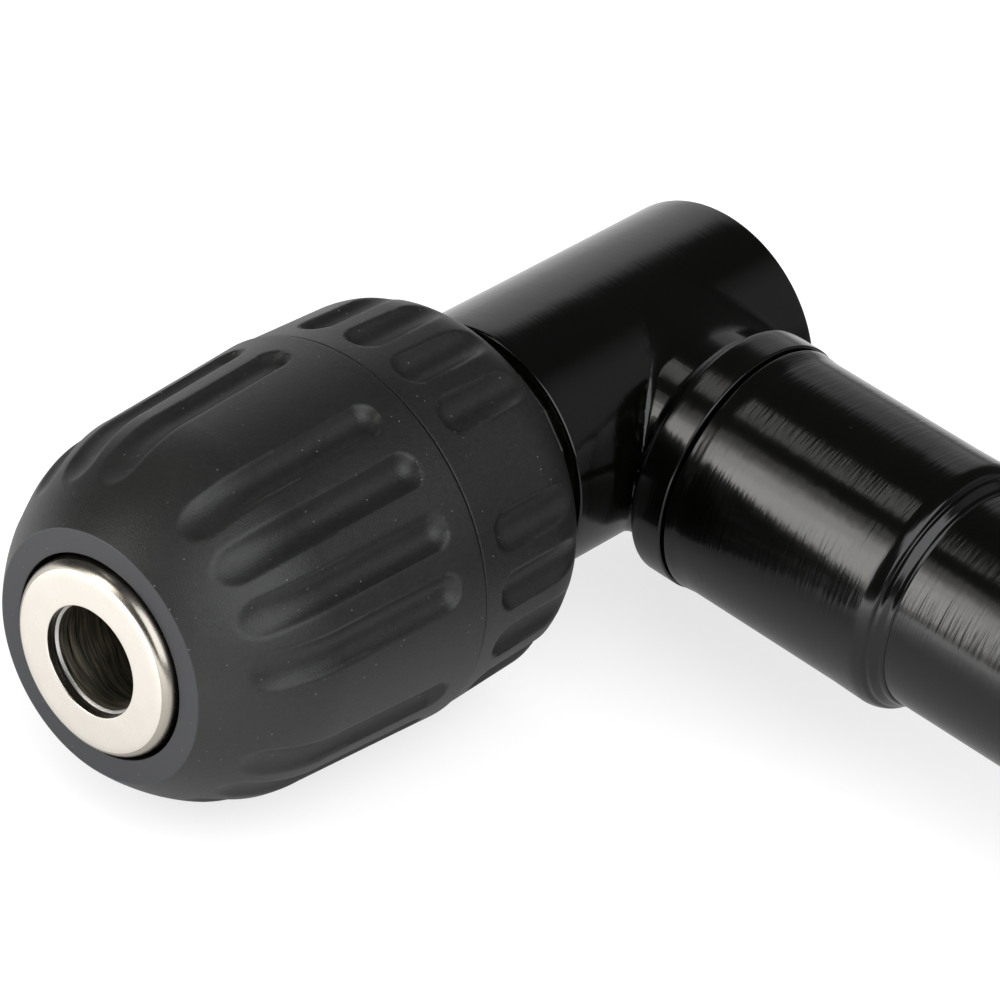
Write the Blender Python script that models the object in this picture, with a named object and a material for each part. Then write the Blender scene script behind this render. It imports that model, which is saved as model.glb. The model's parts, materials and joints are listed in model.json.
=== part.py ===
"""Right angle drill adapter with a keyless chuck, in metres.

The barrel lies along +X and ends in a hex shank, whose end face holds the origin. The drive turns
a corner in the head: a bevel pinion on the shank's shaft turns a bevel gear on the chuck's spindle,
which points along -Y. Each axis has its own empty, with local +Z pointing away from the corner, so
a height below is a distance from the crossing of the two axes.
"""

from math import atan, cos, pi, radians, sin, sqrt, tan

import bmesh
import bpy
from mathutils import Matrix, Vector

MM = 0.001
FULL_TURN = 2 * pi
WELD_DISTANCE = 1e-7
SHARP_EDGE = radians(30)
CUTTER_OVERRUN = 1.0 * MM
CUTTER_LENGTH = 22.0 * MM
EDGE_BREAK = 0.3 * MM
CORNER_POINTS = 3

# Clearances between pieces that touch on the real object
FIT = 0.2 * MM
RUNNING = 0.3 * MM
SEAM = 0.4 * MM

# Barrel side: distances from the crossing of the axes, along the shank
SHANK_END = 148 * MM
SHANK_ACROSS_FLATS = 8 * MM
SHANK_LENGTH = 31 * MM
SHANK_CHAMFER = 0.8 * MM
SHAFT_RADIUS = 4.0 * MM
PINION_SEAT_RADIUS = 3.1 * MM
SHAFT_SHOULDER_RADIUS = 4.9 * MM
SHAFT_SHOULDER_LENGTH = 2.0 * MM
BARREL_WALL = 1.3 * MM
BARREL_END = 41 * MM
BARREL_LIP = 2.0 * MM
BARREL_WAIST = 0.1 * MM
BARREL_WAIST_RUN = 6.0 * MM
BARREL_END_ROUNDING = ((0.0, 0.9), (0.25, 0.4), (0.6, 0.0))
BARREL_LIP_STEP = 0.6
TUBE_RADIUS = 10.9 * MM
TUBE_WALL = 1.5 * MM
TUBE_END = 112 * MM
CAP_FLANGE = 3.2 * MM
CAP_SPIGOT = 9.0 * MM
CAP_SPIGOT_WALL = 1.0 * MM
CAP_CHAMFER = 0.7 * MM
CAP_WEB = 1.6 * MM
SEAL_RECESS = 0.4 * MM
SEAL_RADIUS = 7.3 * MM

# Head and neck
HEAD_RADIUS = 12.95 * MM
HEAD_WALL = 1.75 * MM
HEAD_FRONT = 18.8 * MM
HEAD_BACK = -14.6 * MM
HEAD_ROUNDING = 0.5 * MM
HEAD_CHAMFER = 0.35 * MM
HEAD_END_WALL = 1.8 * MM
NECK_WALL = 1.2 * MM
NECK_FLARE_START = 12.4 * MM
NECK_ROOT = 3.6 * MM
NECK_FLARE = ((0.1, 0.3), (0.5, 0.55), (0.88, 0.8))
COLLAR_STEP = 0.25 * MM
COLLAR_START = 14.4 * MM
COLLAR_END = 17.6 * MM
SPIGOT_LENGTH = 9.4 * MM
SPIGOT_WALL = 1.3 * MM

# Bevel gears, both alike
GEAR_TEETH = 15
GEAR_OUTER_PITCH_RADIUS = 7.2 * MM
GEAR_INNER_PITCH_RADIUS = 5.0 * MM
GEAR_BACKLASH = 0.3 * MM
GEAR_HUB_RADIUS = 5.5 * MM
GEAR_HUB_OVERLAP = 0.15 * MM
PRESSURE_ANGLE = radians(20)
ADDENDUM = 0.9
DEDENDUM = 1.25
CHAMBER_CLEARANCE = 0.6 * MM

# Ball bearings, their circlips and the gears' pins
SPINDLE_BEARING_WIDTH = 7.0 * MM
PINION_BEARING_WIDTH = 6.0 * MM
SHANK_BEARING_WIDTH = 5.0 * MM
PINION_BEARING_START = 11.8 * MM
SPINDLE_BEARING_START = 10.5 * MM
BALL_SHARE = 0.36
CAGE_SHARE = 0.45
BALL_COUNT = 7
CIRCLIP_THICKNESS = 0.9 * MM
CIRCLIP_BITE = 0.5 * MM
CIRCLIP_LAND = 1.6 * MM
CIRCLIP_GAP = radians(36)
WAVE_WASHER_THICKNESS = 0.5 * MM
WAVE_WASHER_WALL = 2.0 * MM
PIN_RADIUS = 0.9 * MM
PIN_CLEARANCE = 0.15 * MM
PIN_BEHIND_TEETH = 1.8 * MM
PIN_SINK = 0.4 * MM

# Output spindle
SPINDLE_RADIUS = 4.0 * MM
GEAR_SEAT_RADIUS = 3.1 * MM
SPINDLE_SHOULDER_RADIUS = 6.8 * MM
SPINDLE_SHOULDER_END = 22.2 * MM
THREAD_STUB_RADIUS = 4.76 * MM
THREAD_STUB_END = 36.0 * MM
BUSH_WALL = 2.7 * MM
BUSH_LENGTH = 3.2 * MM

# Chuck body and its fittings
NOSE_FACE = 68.75 * MM
NOSE_BORE_RADIUS = 5.3 * MM
NOSE_RING_RADIUS = 9.4 * MM
NOSE_RING_FACE = 0.7 * MM
NOSE_RING_SKIRT = 5.2 * MM
NOSE_RING_ROUNDING = 1.3 * MM
NOSE_BORE_CHAMFER = 0.25 * MM
BIT_BORE_RADIUS = 5.05 * MM
BIT_BORE_BOTTOM = 40.0 * MM
BIT_BORE_CHAMFER = 0.35 * MM
BODY_NOSE_RADIUS = 7.5 * MM
BODY_RADIUS = 11.5 * MM
BODY_LAND = 3.0 * MM
BODY_FLANGE_RADIUS = 13.6 * MM
BODY_FLANGE_START = 28.5 * MM
BODY_HUB_RADIUS = 9.0 * MM
CHUCK_WEB = 3.5 * MM
SCREW_RADIUS = 2.3 * MM
SCREW_HEAD_RADIUS = 4.4 * MM
SCREW_HEAD_HEIGHT = 2.2 * MM
SCREW_LENGTH = 14.0 * MM
SCREW_SOCKET_ACROSS_FLATS = 4.0 * MM
SCREW_SOCKET_FLOOR = 0.7 * MM

# Jaws, nut and thrust bearing
JAW_COUNT = 3
JAW_ANGLE = radians(16)
JAW_APEX = 72.5 * MM
JAW_RADIUS = 3.0 * MM
JAW_LENGTH = 26.0 * MM
JAW_OPEN_RADIUS = 5.0 * MM
JAW_HOLE_OVERRUN = 6.0 * MM
FIRST_JAW_TURN = radians(180)
NUT_START = 46.0 * MM
NUT_LENGTH = 6.0 * MM
NUT_RADIUS = 12.4 * MM
NUT_RING_WALL = 1.2 * MM
NUT_SPLIT = 0.5 * MM
NUT_GROOVE_SINK = 0.45 * MM
THRUST_WASHER_THICKNESS = 0.8 * MM
THRUST_BALL_RADIUS = 0.75 * MM
THRUST_RING_WALL = 1.6 * MM

# Sleeves
PARTING = 38.0 * MM
SLEEVE_RADIUS = 18.9 * MM
BELL_SHOULDER = 54.5 * MM
BELL_TAPER = 0.85 * MM
BELL_FACE = 67.6 * MM
BELL_LENGTH_AXIS = 26.0 * MM
BELL_RADIUS_AXIS = 43.7 * MM
BELL_POINTS = 7
BELL_BUNCHING = 1.6
BELL_NECK = 2.0 * MM
REAR_STEP = 0.15 * MM
REAR_SHOULDER = 28.5 * MM
REAR_TAPER = 0.35 * MM
REAR_FACE = 23.2 * MM
REAR_LENGTH_AXIS = 6.5 * MM
REAR_RADIUS_AXIS = 5.0 * MM
REAR_POINTS = 4
REAR_WALL = 3.0 * MM
REAR_WEB = 2.4 * MM
FLUTE_STEP = radians(18)
FLUTE_GROUPS = 4
FLUTES_IN_GROUP = 4
FLUTE_DEPTH = 1.0 * MM
FRONT_FLUTE_WIDTH = 3.5 * MM
REAR_FLUTE_WIDTH = 3.6 * MM
REAR_FLUTE_TURN = radians(1.5)
FRONT_FLUTE_START = 41.0 * MM
FRONT_FLUTE_END = 63.6 * MM
REAR_FLUTE_START = 35.6 * MM
REAR_FLUTE_OVERRUN = 1.6 * MM
FLUTE_END_RUN = 1.3 * MM
FLUTE_END_SWELL = 0.62
FLUTE_END_LIFT = 0.02 * MM
FLUTE_SIDES = 8
FRONT_FLUTE_STATIONS = 5
REAR_FLUTE_STATIONS = 3

# Facets round a turn
SLEEVE_FACETS = 40
CASE_FACETS = 32
SMALL_FACETS = 20
CIRCLIP_FACETS = 16
PIN_FACETS = 8
BALL_FACETS = 6

# Where the pieces come from the sizes above
TUBE_BORE = TUBE_RADIUS - TUBE_WALL
BARREL_BORE = TUBE_RADIUS + RUNNING
BARREL_RADIUS = BARREL_BORE + BARREL_WALL
COLLAR_RADIUS = BARREL_RADIUS + COLLAR_STEP
SPIGOT_RADIUS = BARREL_BORE - FIT
PINION_BEARING_SEAT = SPIGOT_RADIUS - SPIGOT_WALL
NECK_RADIUS = PINION_BEARING_SEAT + NECK_WALL
PINION_BEARING_END = PINION_BEARING_START + PINION_BEARING_WIDTH
SHANK_START = SHANK_END - SHANK_LENGTH
CAP_END = TUBE_END + RUNNING + CAP_FLANGE
CAP_SPIGOT_RADIUS = TUBE_BORE - FIT
SHANK_BEARING_SEAT = CAP_SPIGOT_RADIUS - CAP_SPIGOT_WALL
SHANK_BEARING_START = TUBE_END - CAP_SPIGOT + CIRCLIP_THICKNESS + CIRCLIP_LAND
SHANK_BEARING_END = SHANK_BEARING_START + SHANK_BEARING_WIDTH
SPINDLE_BEARING_SEAT = HEAD_RADIUS - HEAD_WALL
SPINDLE_BEARING_END = SPINDLE_BEARING_START + SPINDLE_BEARING_WIDTH
BODY_START = SPINDLE_SHOULDER_END + RUNNING
BODY_NOSE_END = NOSE_FACE - NOSE_RING_FACE - RUNNING
THRUST_FACE = NUT_START - THRUST_WASHER_THICKNESS - 2 * THRUST_BALL_RADIUS - 3 * RUNNING
NUT_END = NUT_START + NUT_LENGTH
NUT_RING_RADIUS = NUT_RADIUS + FIT + NUT_RING_WALL
SLEEVE_BORE = NUT_RING_RADIUS + RUNNING
JAW_HOLE_RADIUS = JAW_RADIUS + RUNNING
BELL_SHOULDER_RADIUS = SLEEVE_RADIUS - BELL_TAPER
REAR_SLEEVE_RADIUS = SLEEVE_RADIUS - REAR_STEP
REAR_SHOULDER_RADIUS = REAR_SLEEVE_RADIUS - REAR_TAPER
REAR_SLEEVE_BORE = REAR_SHOULDER_RADIUS - REAR_WALL


def material(name, colour, roughness, metallic):
    made = bpy.data.materials.new(name)
    made.use_nodes = True
    shader = made.node_tree.nodes["Principled BSDF"]
    shader.inputs["Base Color"].default_value = (*colour, 1)
    shader.inputs["Roughness"].default_value = roughness
    shader.inputs["Metallic"].default_value = metallic
    return made


def axis_empty(name, turn):
    """An empty at the crossing of the axes, turned so that its +Z points away from the corner."""
    empty = bpy.data.objects.new(name, None)
    bpy.context.scene.collection.objects.link(empty)
    empty.location = (-SHANK_END, 0, 0)
    empty.rotation_euler = turn
    return empty


def add_object(name, shape, finish, parent):
    """The bmesh as an object that hangs on an axis empty, shaded smooth but for its real edges."""
    bmesh.ops.remove_doubles(shape, verts=shape.verts, dist=WELD_DISTANCE)
    bmesh.ops.recalc_face_normals(shape, faces=shape.faces)
    mesh = bpy.data.meshes.new(name)
    shape.to_mesh(mesh)
    shape.free()
    mesh.shade_smooth()
    mesh.set_sharp_from_angle(angle=SHARP_EDGE)
    mesh.materials.append(finish)
    made = bpy.data.objects.new(name, mesh)
    bpy.context.scene.collection.objects.link(made)
    made.parent = parent
    return made


def add_turned(shape, outline, facets, turn=FULL_TURN, start=0.0):
    """Turn a closed outline of (radius, height) points about Z, with end caps if it stops short."""
    closed = turn == FULL_TURN
    rings = []
    for step in range(facets if closed else facets + 1):
        angle = start + turn * step / facets
        rings.append([shape.verts.new((r * sin(angle), r * cos(angle), h)) for r, h in outline])
    for step in range(facets):
        ring = rings[step]
        after = rings[(step + 1) % len(rings)]
        for i in range(len(outline)):
            j = (i + 1) % len(outline)
            if outline[i][0] > 0 or outline[j][0] > 0:
                shape.faces.new((ring[i], ring[j], after[j], after[i]))
    if not closed:
        shape.faces.new(rings[0])
        shape.faces.new(rings[-1])


def turned(name, outline, facets, finish, parent):
    shape = bmesh.new()
    add_turned(shape, outline, facets)
    return add_object(name, shape, finish, parent)


def tube_outline(inner, outer, low, high):
    return [(inner, low), (outer, low), (outer, high), (inner, high)]


def rod_outline(radius, low, high):
    return [(0, low), (radius, low), (radius, high), (0, high)]


def combine(target, other, operation):
    """Join or cut with a hidden helper object, which the render leaves out."""
    other.hide_render = True
    other.display_type = "WIRE"
    boolean = target.modifiers.new(other.name, "BOOLEAN")
    boolean.operation = operation
    boolean.object = other


def quarter_ellipse(centre, radius_axis, length_axis, top, until, points):
    """Points (radius, height) on an ellipse from its widest point to the height given."""
    low_radius = top - radius_axis
    found = []
    for i in range(points):
        share = 1 - (1 - i / (points - 1)) ** BELL_BUNCHING
        height = centre + (until - centre) * share
        across = sqrt(1 - ((height - centre) / length_axis) ** 2)
        found.append((low_radius + radius_axis * across, height))
    return found


def rounded_corner(radius, height, rounding, direction):
    """Points from the side of a cylinder round to its end face, which lies towards direction."""
    found = []
    for i in range(CORNER_POINTS + 1):
        angle = pi / 2 * i / CORNER_POINTS
        found.append(
            (
                radius - rounding * (1 - cos(angle)),
                height + direction * rounding * (sin(angle) - 1),
            )
        )
    return found


def circlip(name, bore, start, finish, parent):
    """An internal circlip that bites into a bore: a ring with an opening."""
    shape = bmesh.new()
    outline = tube_outline(
        bore - CIRCLIP_LAND, bore + CIRCLIP_BITE - FIT, start, start + CIRCLIP_THICKNESS
    )
    add_turned(shape, outline, CIRCLIP_FACETS, FULL_TURN - CIRCLIP_GAP, CIRCLIP_GAP / 2)
    return add_object(name, shape, finish, parent)


def circlip_groove(bore, start):
    """Outline points of the groove that an internal circlip sits in, in rising height."""
    low = start - FIT
    high = start + CIRCLIP_THICKNESS + FIT
    return [(bore, low), (bore + CIRCLIP_BITE, low), (bore + CIRCLIP_BITE, high), (bore, high)]


def ball_ring(name, pitch, ball_radius, middle, finish, parent):
    """Balls fused to the thin cage that spaces them, as one body."""
    shape = bmesh.new()
    half = CAGE_SHARE * ball_radius
    add_turned(
        shape,
        tube_outline(pitch - half, pitch + half, middle - half, middle + half),
        2 * BALL_COUNT,
    )
    cage = add_object(name, shape, finish, parent)
    balls = bmesh.new()
    for i in range(BALL_COUNT):
        angle = FULL_TURN * (i + 0.5) / BALL_COUNT
        place = Vector((pitch * sin(angle), pitch * cos(angle), middle))
        bmesh.ops.create_uvsphere(
            balls,
            u_segments=BALL_FACETS,
            v_segments=BALL_FACETS - 2,
            radius=ball_radius,
            matrix=Matrix.Translation(place),
        )
    combine(cage, add_object(name + "_helper", balls, finish, parent), "UNION")
    return cage


def ball_bearing(name, bore, seat, start, width, finish, parent):
    """Outer race, inner race and the balls between, each its own piece, in a seat on a shaft."""
    outer = seat - FIT
    room = outer - bore
    pitch = (bore + outer) / 2
    ball_radius = room * BALL_SHARE / 2
    land = ball_radius + RUNNING
    high = start + width
    turned(
        name + "_outer_race",
        tube_outline(pitch + land, outer, start, high),
        SMALL_FACETS,
        finish,
        parent,
    )
    turned(
        name + "_inner_race",
        tube_outline(bore + FIT, pitch - land, start, high),
        SMALL_FACETS,
        finish,
        parent,
    )
    ball_ring(name + "_balls", pitch, ball_radius, start + width / 2, finish, parent)


def build_bearings(steel, spindle_axis, barrel_axis):
    """The three bearings: one on the spindle and one at each end of the shaft."""
    ball_bearing(
        "pinion_bearing",
        SHAFT_RADIUS,
        PINION_BEARING_SEAT,
        PINION_BEARING_START,
        PINION_BEARING_WIDTH,
        steel,
        barrel_axis,
    )
    ball_bearing(
        "shank_bearing",
        SHAFT_RADIUS,
        SHANK_BEARING_SEAT,
        SHANK_BEARING_START,
        SHANK_BEARING_WIDTH,
        steel,
        barrel_axis,
    )
    ball_bearing(
        "spindle_bearing",
        SPINDLE_RADIUS,
        SPINDLE_BEARING_SEAT,
        SPINDLE_BEARING_START,
        SPINDLE_BEARING_WIDTH,
        steel,
        spindle_axis,
    )


def bevel_outline(teeth, phase):
    """One cross-section of a bevel gear at height 1 from the cone's tip, as (x, y) points.

    Each flank is an involute of the virtual spur gear that rolls on the back cone.
    """
    module = 2 / teeth
    cone_distance = sqrt(2)
    virtual_radius = sqrt(2)
    virtual_teeth = teeth * sqrt(2)
    base_radius = virtual_radius * cos(PRESSURE_ANGLE)

    def involute(angle):
        return tan(angle) - angle

    def half_width(offset):
        radius = max(virtual_radius + offset, base_radius)
        pressure = atan(sqrt(max((radius / base_radius) ** 2 - 1, 0)))
        turn = pi / (2 * virtual_teeth) + involute(PRESSURE_ANGLE) - involute(pressure)
        play = GEAR_BACKLASH / GEAR_OUTER_PITCH_RADIUS / 2
        return (radius * turn - play) / (1 + offset / sqrt(2))

    flank = []
    for offset in (-DEDENDUM * module, 0, ADDENDUM * module):
        reach = tan(pi / 4 + atan(offset / cone_distance))
        flank.append((reach, half_width(offset)))
    points = []
    for tooth in range(teeth):
        middle = phase + FULL_TURN * tooth / teeth
        for reach, half in flank:
            points.append((reach * sin(middle - half), reach * cos(middle - half)))
        for reach, half in reversed(flank):
            points.append((reach * sin(middle + half), reach * cos(middle + half)))
    return points


def bevel_gear(name, phase, hub_end, finish, parent):
    """A straight bevel gear: the outline shrinks towards the crossing of the axes."""
    shape = bmesh.new()
    outline = bevel_outline(GEAR_TEETH, phase)
    rings = []
    for height in (GEAR_INNER_PITCH_RADIUS, GEAR_OUTER_PITCH_RADIUS):
        rings.append([shape.verts.new((x * height, y * height, height)) for x, y in outline])
    for i in range(len(outline)):
        j = (i + 1) % len(outline)
        shape.faces.new((rings[0][i], rings[0][j], rings[1][j], rings[1][i]))
    for ring in rings:
        shape.faces.new(ring)
    gear = add_object(name, shape, finish, parent)
    hub = turned(
        name + "_hub",
        rod_outline(GEAR_HUB_RADIUS, GEAR_OUTER_PITCH_RADIUS - GEAR_HUB_OVERLAP, hub_end),
        SMALL_FACETS,
        finish,
        parent,
    )
    combine(gear, hub, "UNION")
    bore = turned(
        name + "_bore",
        rod_outline(
            GEAR_SEAT_RADIUS + FIT,
            GEAR_INNER_PITCH_RADIUS - CUTTER_OVERRUN,
            hub_end + CUTTER_OVERRUN,
        ),
        SMALL_FACETS,
        finish,
        parent,
    )
    combine(gear, bore, "DIFFERENCE")
    return gear


def cross_pin(name, height, length, radius, finish, parent):
    """A pin across an axis, along the local X of its empty."""
    shape = bmesh.new()
    bmesh.ops.create_cone(
        shape,
        cap_ends=True,
        segments=PIN_FACETS,
        radius1=radius,
        radius2=radius,
        depth=length,
        matrix=Matrix.Translation((0, 0, height)) @ Matrix.Rotation(pi / 2, 4, "Y"),
    )
    return add_object(name, shape, finish, parent)


def jaw_place(turn):
    """The frame of one jaw: local Z runs forward along it, from where it meets the chuck's axis."""
    lean = Matrix.Rotation(JAW_ANGLE, 4, "X")
    return Matrix.Rotation(-turn, 4, "Z") @ Matrix.Translation((0, 0, JAW_APEX)) @ lean


def jaw_front():
    """How far back from the apex the open jaw's tip lies, along the jaw."""
    return JAW_OPEN_RADIUS / sin(JAW_ANGLE)


def jaw_reach(height):
    """How far from the chuck's axis the outer side of a jaw lies, at a height."""
    return (JAW_APEX - height) * tan(JAW_ANGLE) + JAW_RADIUS / cos(JAW_ANGLE)


def add_rod(shape, place, radius, low, high):
    bmesh.ops.create_cone(
        shape,
        cap_ends=True,
        segments=SMALL_FACETS,
        radius1=radius,
        radius2=radius,
        depth=high - low,
        matrix=place @ Matrix.Translation((0, 0, (low + high) / 2)),
    )


def jaw(name, turn, finish, parent):
    """A round bar leaning in towards the nose, its tip cut to a wedge that grips along the axis."""
    shape = bmesh.new()
    front = -jaw_front()
    add_rod(shape, jaw_place(turn), JAW_RADIUS, front - JAW_LENGTH, front)
    outward = Vector((sin(turn), cos(turn), 0))
    for side in (-1, 1):
        face = Matrix.Rotation(side * pi / JAW_COUNT, 4, "Z") @ outward
        normal = Vector((0, 0, 1)).cross(face) * side
        cut = bmesh.ops.bisect_plane(
            shape,
            geom=shape.verts[:] + shape.edges[:] + shape.faces[:],
            plane_co=outward * JAW_OPEN_RADIUS,
            plane_no=normal,
            clear_outer=True,
        )
        edges = [e for e in cut["geom_cut"] if isinstance(e, bmesh.types.BMEdge)]
        bmesh.ops.edgeloop_fill(shape, edges=edges)
    return add_object(name, shape, finish, parent)


def flute_cutter(name, path, width, depth, first_turn, parent, finish):
    """One body for each flute: a round bar along the path, set so that it cuts to the depth."""
    radius = (width / 2) ** 2 / (2 * depth) + depth / 2
    shape = bmesh.new()
    for group in range(FLUTE_GROUPS):
        for place in range(FLUTES_IN_GROUP):
            turn = first_turn + FLUTE_STEP * (group * (FLUTES_IN_GROUP + 1) + place)
            add_bar(shape, path, radius, depth, turn)
    return add_object(name, shape, finish, parent)


def add_bar(shape, path, radius, depth, turn):
    """A bar with pointed round ends whose centre line runs radius - depth outside the path."""
    outward = Vector((sin(turn), cos(turn), 0))
    across = Vector((cos(turn), -sin(turn), 0))
    rings = []
    last = len(path) - 1
    for i, (r, h) in enumerate(path):
        at_end = i in (0, last)
        swell = FLUTE_END_SWELL if at_end else 1.0
        lift = radius + (FLUTE_END_LIFT if at_end else -depth)
        centre = outward * (r + lift) + Vector((0, 0, h))
        ring = []
        for k in range(FLUTE_SIDES):
            angle = FULL_TURN * (k + 0.5) / FLUTE_SIDES
            spoke = across * sin(angle) - outward * cos(angle)
            ring.append(shape.verts.new(centre + spoke * radius * swell))
        rings.append(ring)
    for ring, after in zip(rings, rings[1:]):
        for k in range(FLUTE_SIDES):
            n = (k + 1) % FLUTE_SIDES
            shape.faces.new((ring[k], ring[n], after[n], after[k]))
    shape.faces.new(rings[0])
    shape.faces.new(rings[-1])


def build_head_housing(finish, spindle_axis, barrel_axis):
    """The cast head with its neck, hollow for the gears and bearings."""
    back = rounded_corner(HEAD_RADIUS, HEAD_BACK, HEAD_ROUNDING, -1)
    outline = [(0, HEAD_BACK)] + back[::-1] + [
        (HEAD_RADIUS, HEAD_FRONT - HEAD_CHAMFER),
        (HEAD_RADIUS - HEAD_CHAMFER, HEAD_FRONT),
        (0, HEAD_FRONT),
    ]
    head = turned("head_housing", outline, CASE_FACETS, finish, spindle_axis)
    neck = turned("neck_helper", neck_outline(), CASE_FACETS, finish, barrel_axis)
    combine(head, neck, "UNION")
    chamber = turned("chamber_helper", chamber_outline(), SMALL_FACETS, finish, spindle_axis)
    combine(head, chamber, "DIFFERENCE")
    bore = turned("neck_bore_helper", neck_bore_outline(), SMALL_FACETS, finish, barrel_axis)
    combine(head, bore, "DIFFERENCE")
    return head


def neck_outline():
    rise = COLLAR_RADIUS - NECK_RADIUS
    run = COLLAR_START - NECK_FLARE_START
    return [
        (0, NECK_ROOT),
        (NECK_RADIUS, NECK_ROOT),
        (NECK_RADIUS, NECK_FLARE_START),
        *[(NECK_RADIUS + up * rise, NECK_FLARE_START + along * run) for up, along in NECK_FLARE],
        (COLLAR_RADIUS, COLLAR_START),
        (COLLAR_RADIUS, COLLAR_END - HEAD_CHAMFER),
        (COLLAR_RADIUS - HEAD_CHAMFER, COLLAR_END),
        (SPIGOT_RADIUS, COLLAR_END),
        (SPIGOT_RADIUS, COLLAR_END + SPIGOT_LENGTH),
        (0, COLLAR_END + SPIGOT_LENGTH),
    ]


def gear_tip_radius():
    module = 2 / GEAR_TEETH
    return GEAR_OUTER_PITCH_RADIUS * tan(pi / 4 + atan(ADDENDUM * module / sqrt(2)))


def chamber_outline():
    """The bearing seat, the gear chamber and the blind bush hole, from the front rim inwards."""
    seat = SPINDLE_BEARING_SEAT
    chamber = gear_tip_radius() + CHAMBER_CLEARANCE
    bush = GEAR_SEAT_RADIUS + RUNNING + BUSH_WALL + FIT
    bottom = HEAD_BACK + HEAD_END_WALL
    return [
        (0, bottom),
        (bush, bottom),
        (bush, bottom + BUSH_LENGTH),
        (chamber, bottom + BUSH_LENGTH),
        (chamber, SPINDLE_BEARING_START - RUNNING),
        (seat, SPINDLE_BEARING_START - RUNNING),
        *circlip_groove(seat, SPINDLE_BEARING_END + RUNNING + FIT),
        (seat, HEAD_FRONT + CUTTER_OVERRUN),
        (0, HEAD_FRONT + CUTTER_OVERRUN),
    ]


def neck_bore_outline():
    seat = PINION_BEARING_SEAT
    way_in = gear_tip_radius() + RUNNING
    return [
        (0, 0),
        (way_in, 0),
        (way_in, PINION_BEARING_START - RUNNING),
        (seat, PINION_BEARING_START - RUNNING),
        *circlip_groove(seat, neck_circlip_start()),
        (seat, COLLAR_END + SPIGOT_LENGTH + CUTTER_OVERRUN),
        (0, COLLAR_END + SPIGOT_LENGTH + CUTTER_OVERRUN),
    ]


def neck_circlip_start():
    return PINION_BEARING_END + WAVE_WASHER_THICKNESS + 2 * RUNNING + FIT


def build_barrel(coat, parent):
    """The coupling barrel, and the tube that it holds."""
    start = COLLAR_END + SEAM
    barrel = [
        (BARREL_BORE, start),
        (BARREL_RADIUS, start),
        (COLLAR_RADIUS - BARREL_WAIST, start + EDGE_BREAK),
        (BARREL_RADIUS - BARREL_WAIST, start + BARREL_WAIST_RUN),
        *[(BARREL_RADIUS - drop * MM, BARREL_END - back * MM) for drop, back in BARREL_END_ROUNDING],
        (BARREL_BORE + EDGE_BREAK, BARREL_END + BARREL_LIP_STEP * BARREL_LIP),
        (BARREL_BORE, BARREL_END + BARREL_LIP),
    ]
    turned("barrel", barrel, CASE_FACETS, coat, parent)
    start = COLLAR_END + SPIGOT_LENGTH + RUNNING
    turned(
        "tube", tube_outline(TUBE_BORE, TUBE_RADIUS, start, TUBE_END), CASE_FACETS, coat, parent
    )


def build_end_cap(coat, rubber, steel, parent):
    """The plug at the tube's end, which holds the rear bearing, its circlip and the seal."""
    seat = SHANK_BEARING_SEAT
    low = TUBE_END - CAP_SPIGOT
    face = TUBE_END + RUNNING
    web_hole = SHAFT_SHOULDER_RADIUS + RUNNING
    pocket = SEAL_RADIUS + FIT
    pocket_bottom = SHANK_BEARING_END + RUNNING + CAP_WEB
    circlip_start = SHANK_BEARING_START - RUNNING - FIT - CIRCLIP_THICKNESS
    outline = [
        (seat, low),
        (CAP_SPIGOT_RADIUS, low),
        (CAP_SPIGOT_RADIUS, face),
        (TUBE_RADIUS, face),
        (TUBE_RADIUS, CAP_END - CAP_CHAMFER),
        (TUBE_RADIUS - CAP_CHAMFER, CAP_END),
        (pocket, CAP_END),
        (pocket, pocket_bottom),
        (web_hole, pocket_bottom),
        (web_hole, SHANK_BEARING_END + RUNNING),
        (seat, SHANK_BEARING_END + RUNNING),
        *circlip_groove(seat, circlip_start)[::-1],
    ]
    turned("end_cap", outline, CASE_FACETS, coat, parent)
    turned(
        "shaft_seal",
        tube_outline(
            SHAFT_SHOULDER_RADIUS + FIT,
            SEAL_RADIUS,
            pocket_bottom + FIT,
            CAP_END - SEAL_RECESS,
        ),
        SMALL_FACETS,
        rubber,
        parent,
    )
    circlip("cap_circlip", seat, circlip_start, steel, parent)


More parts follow.
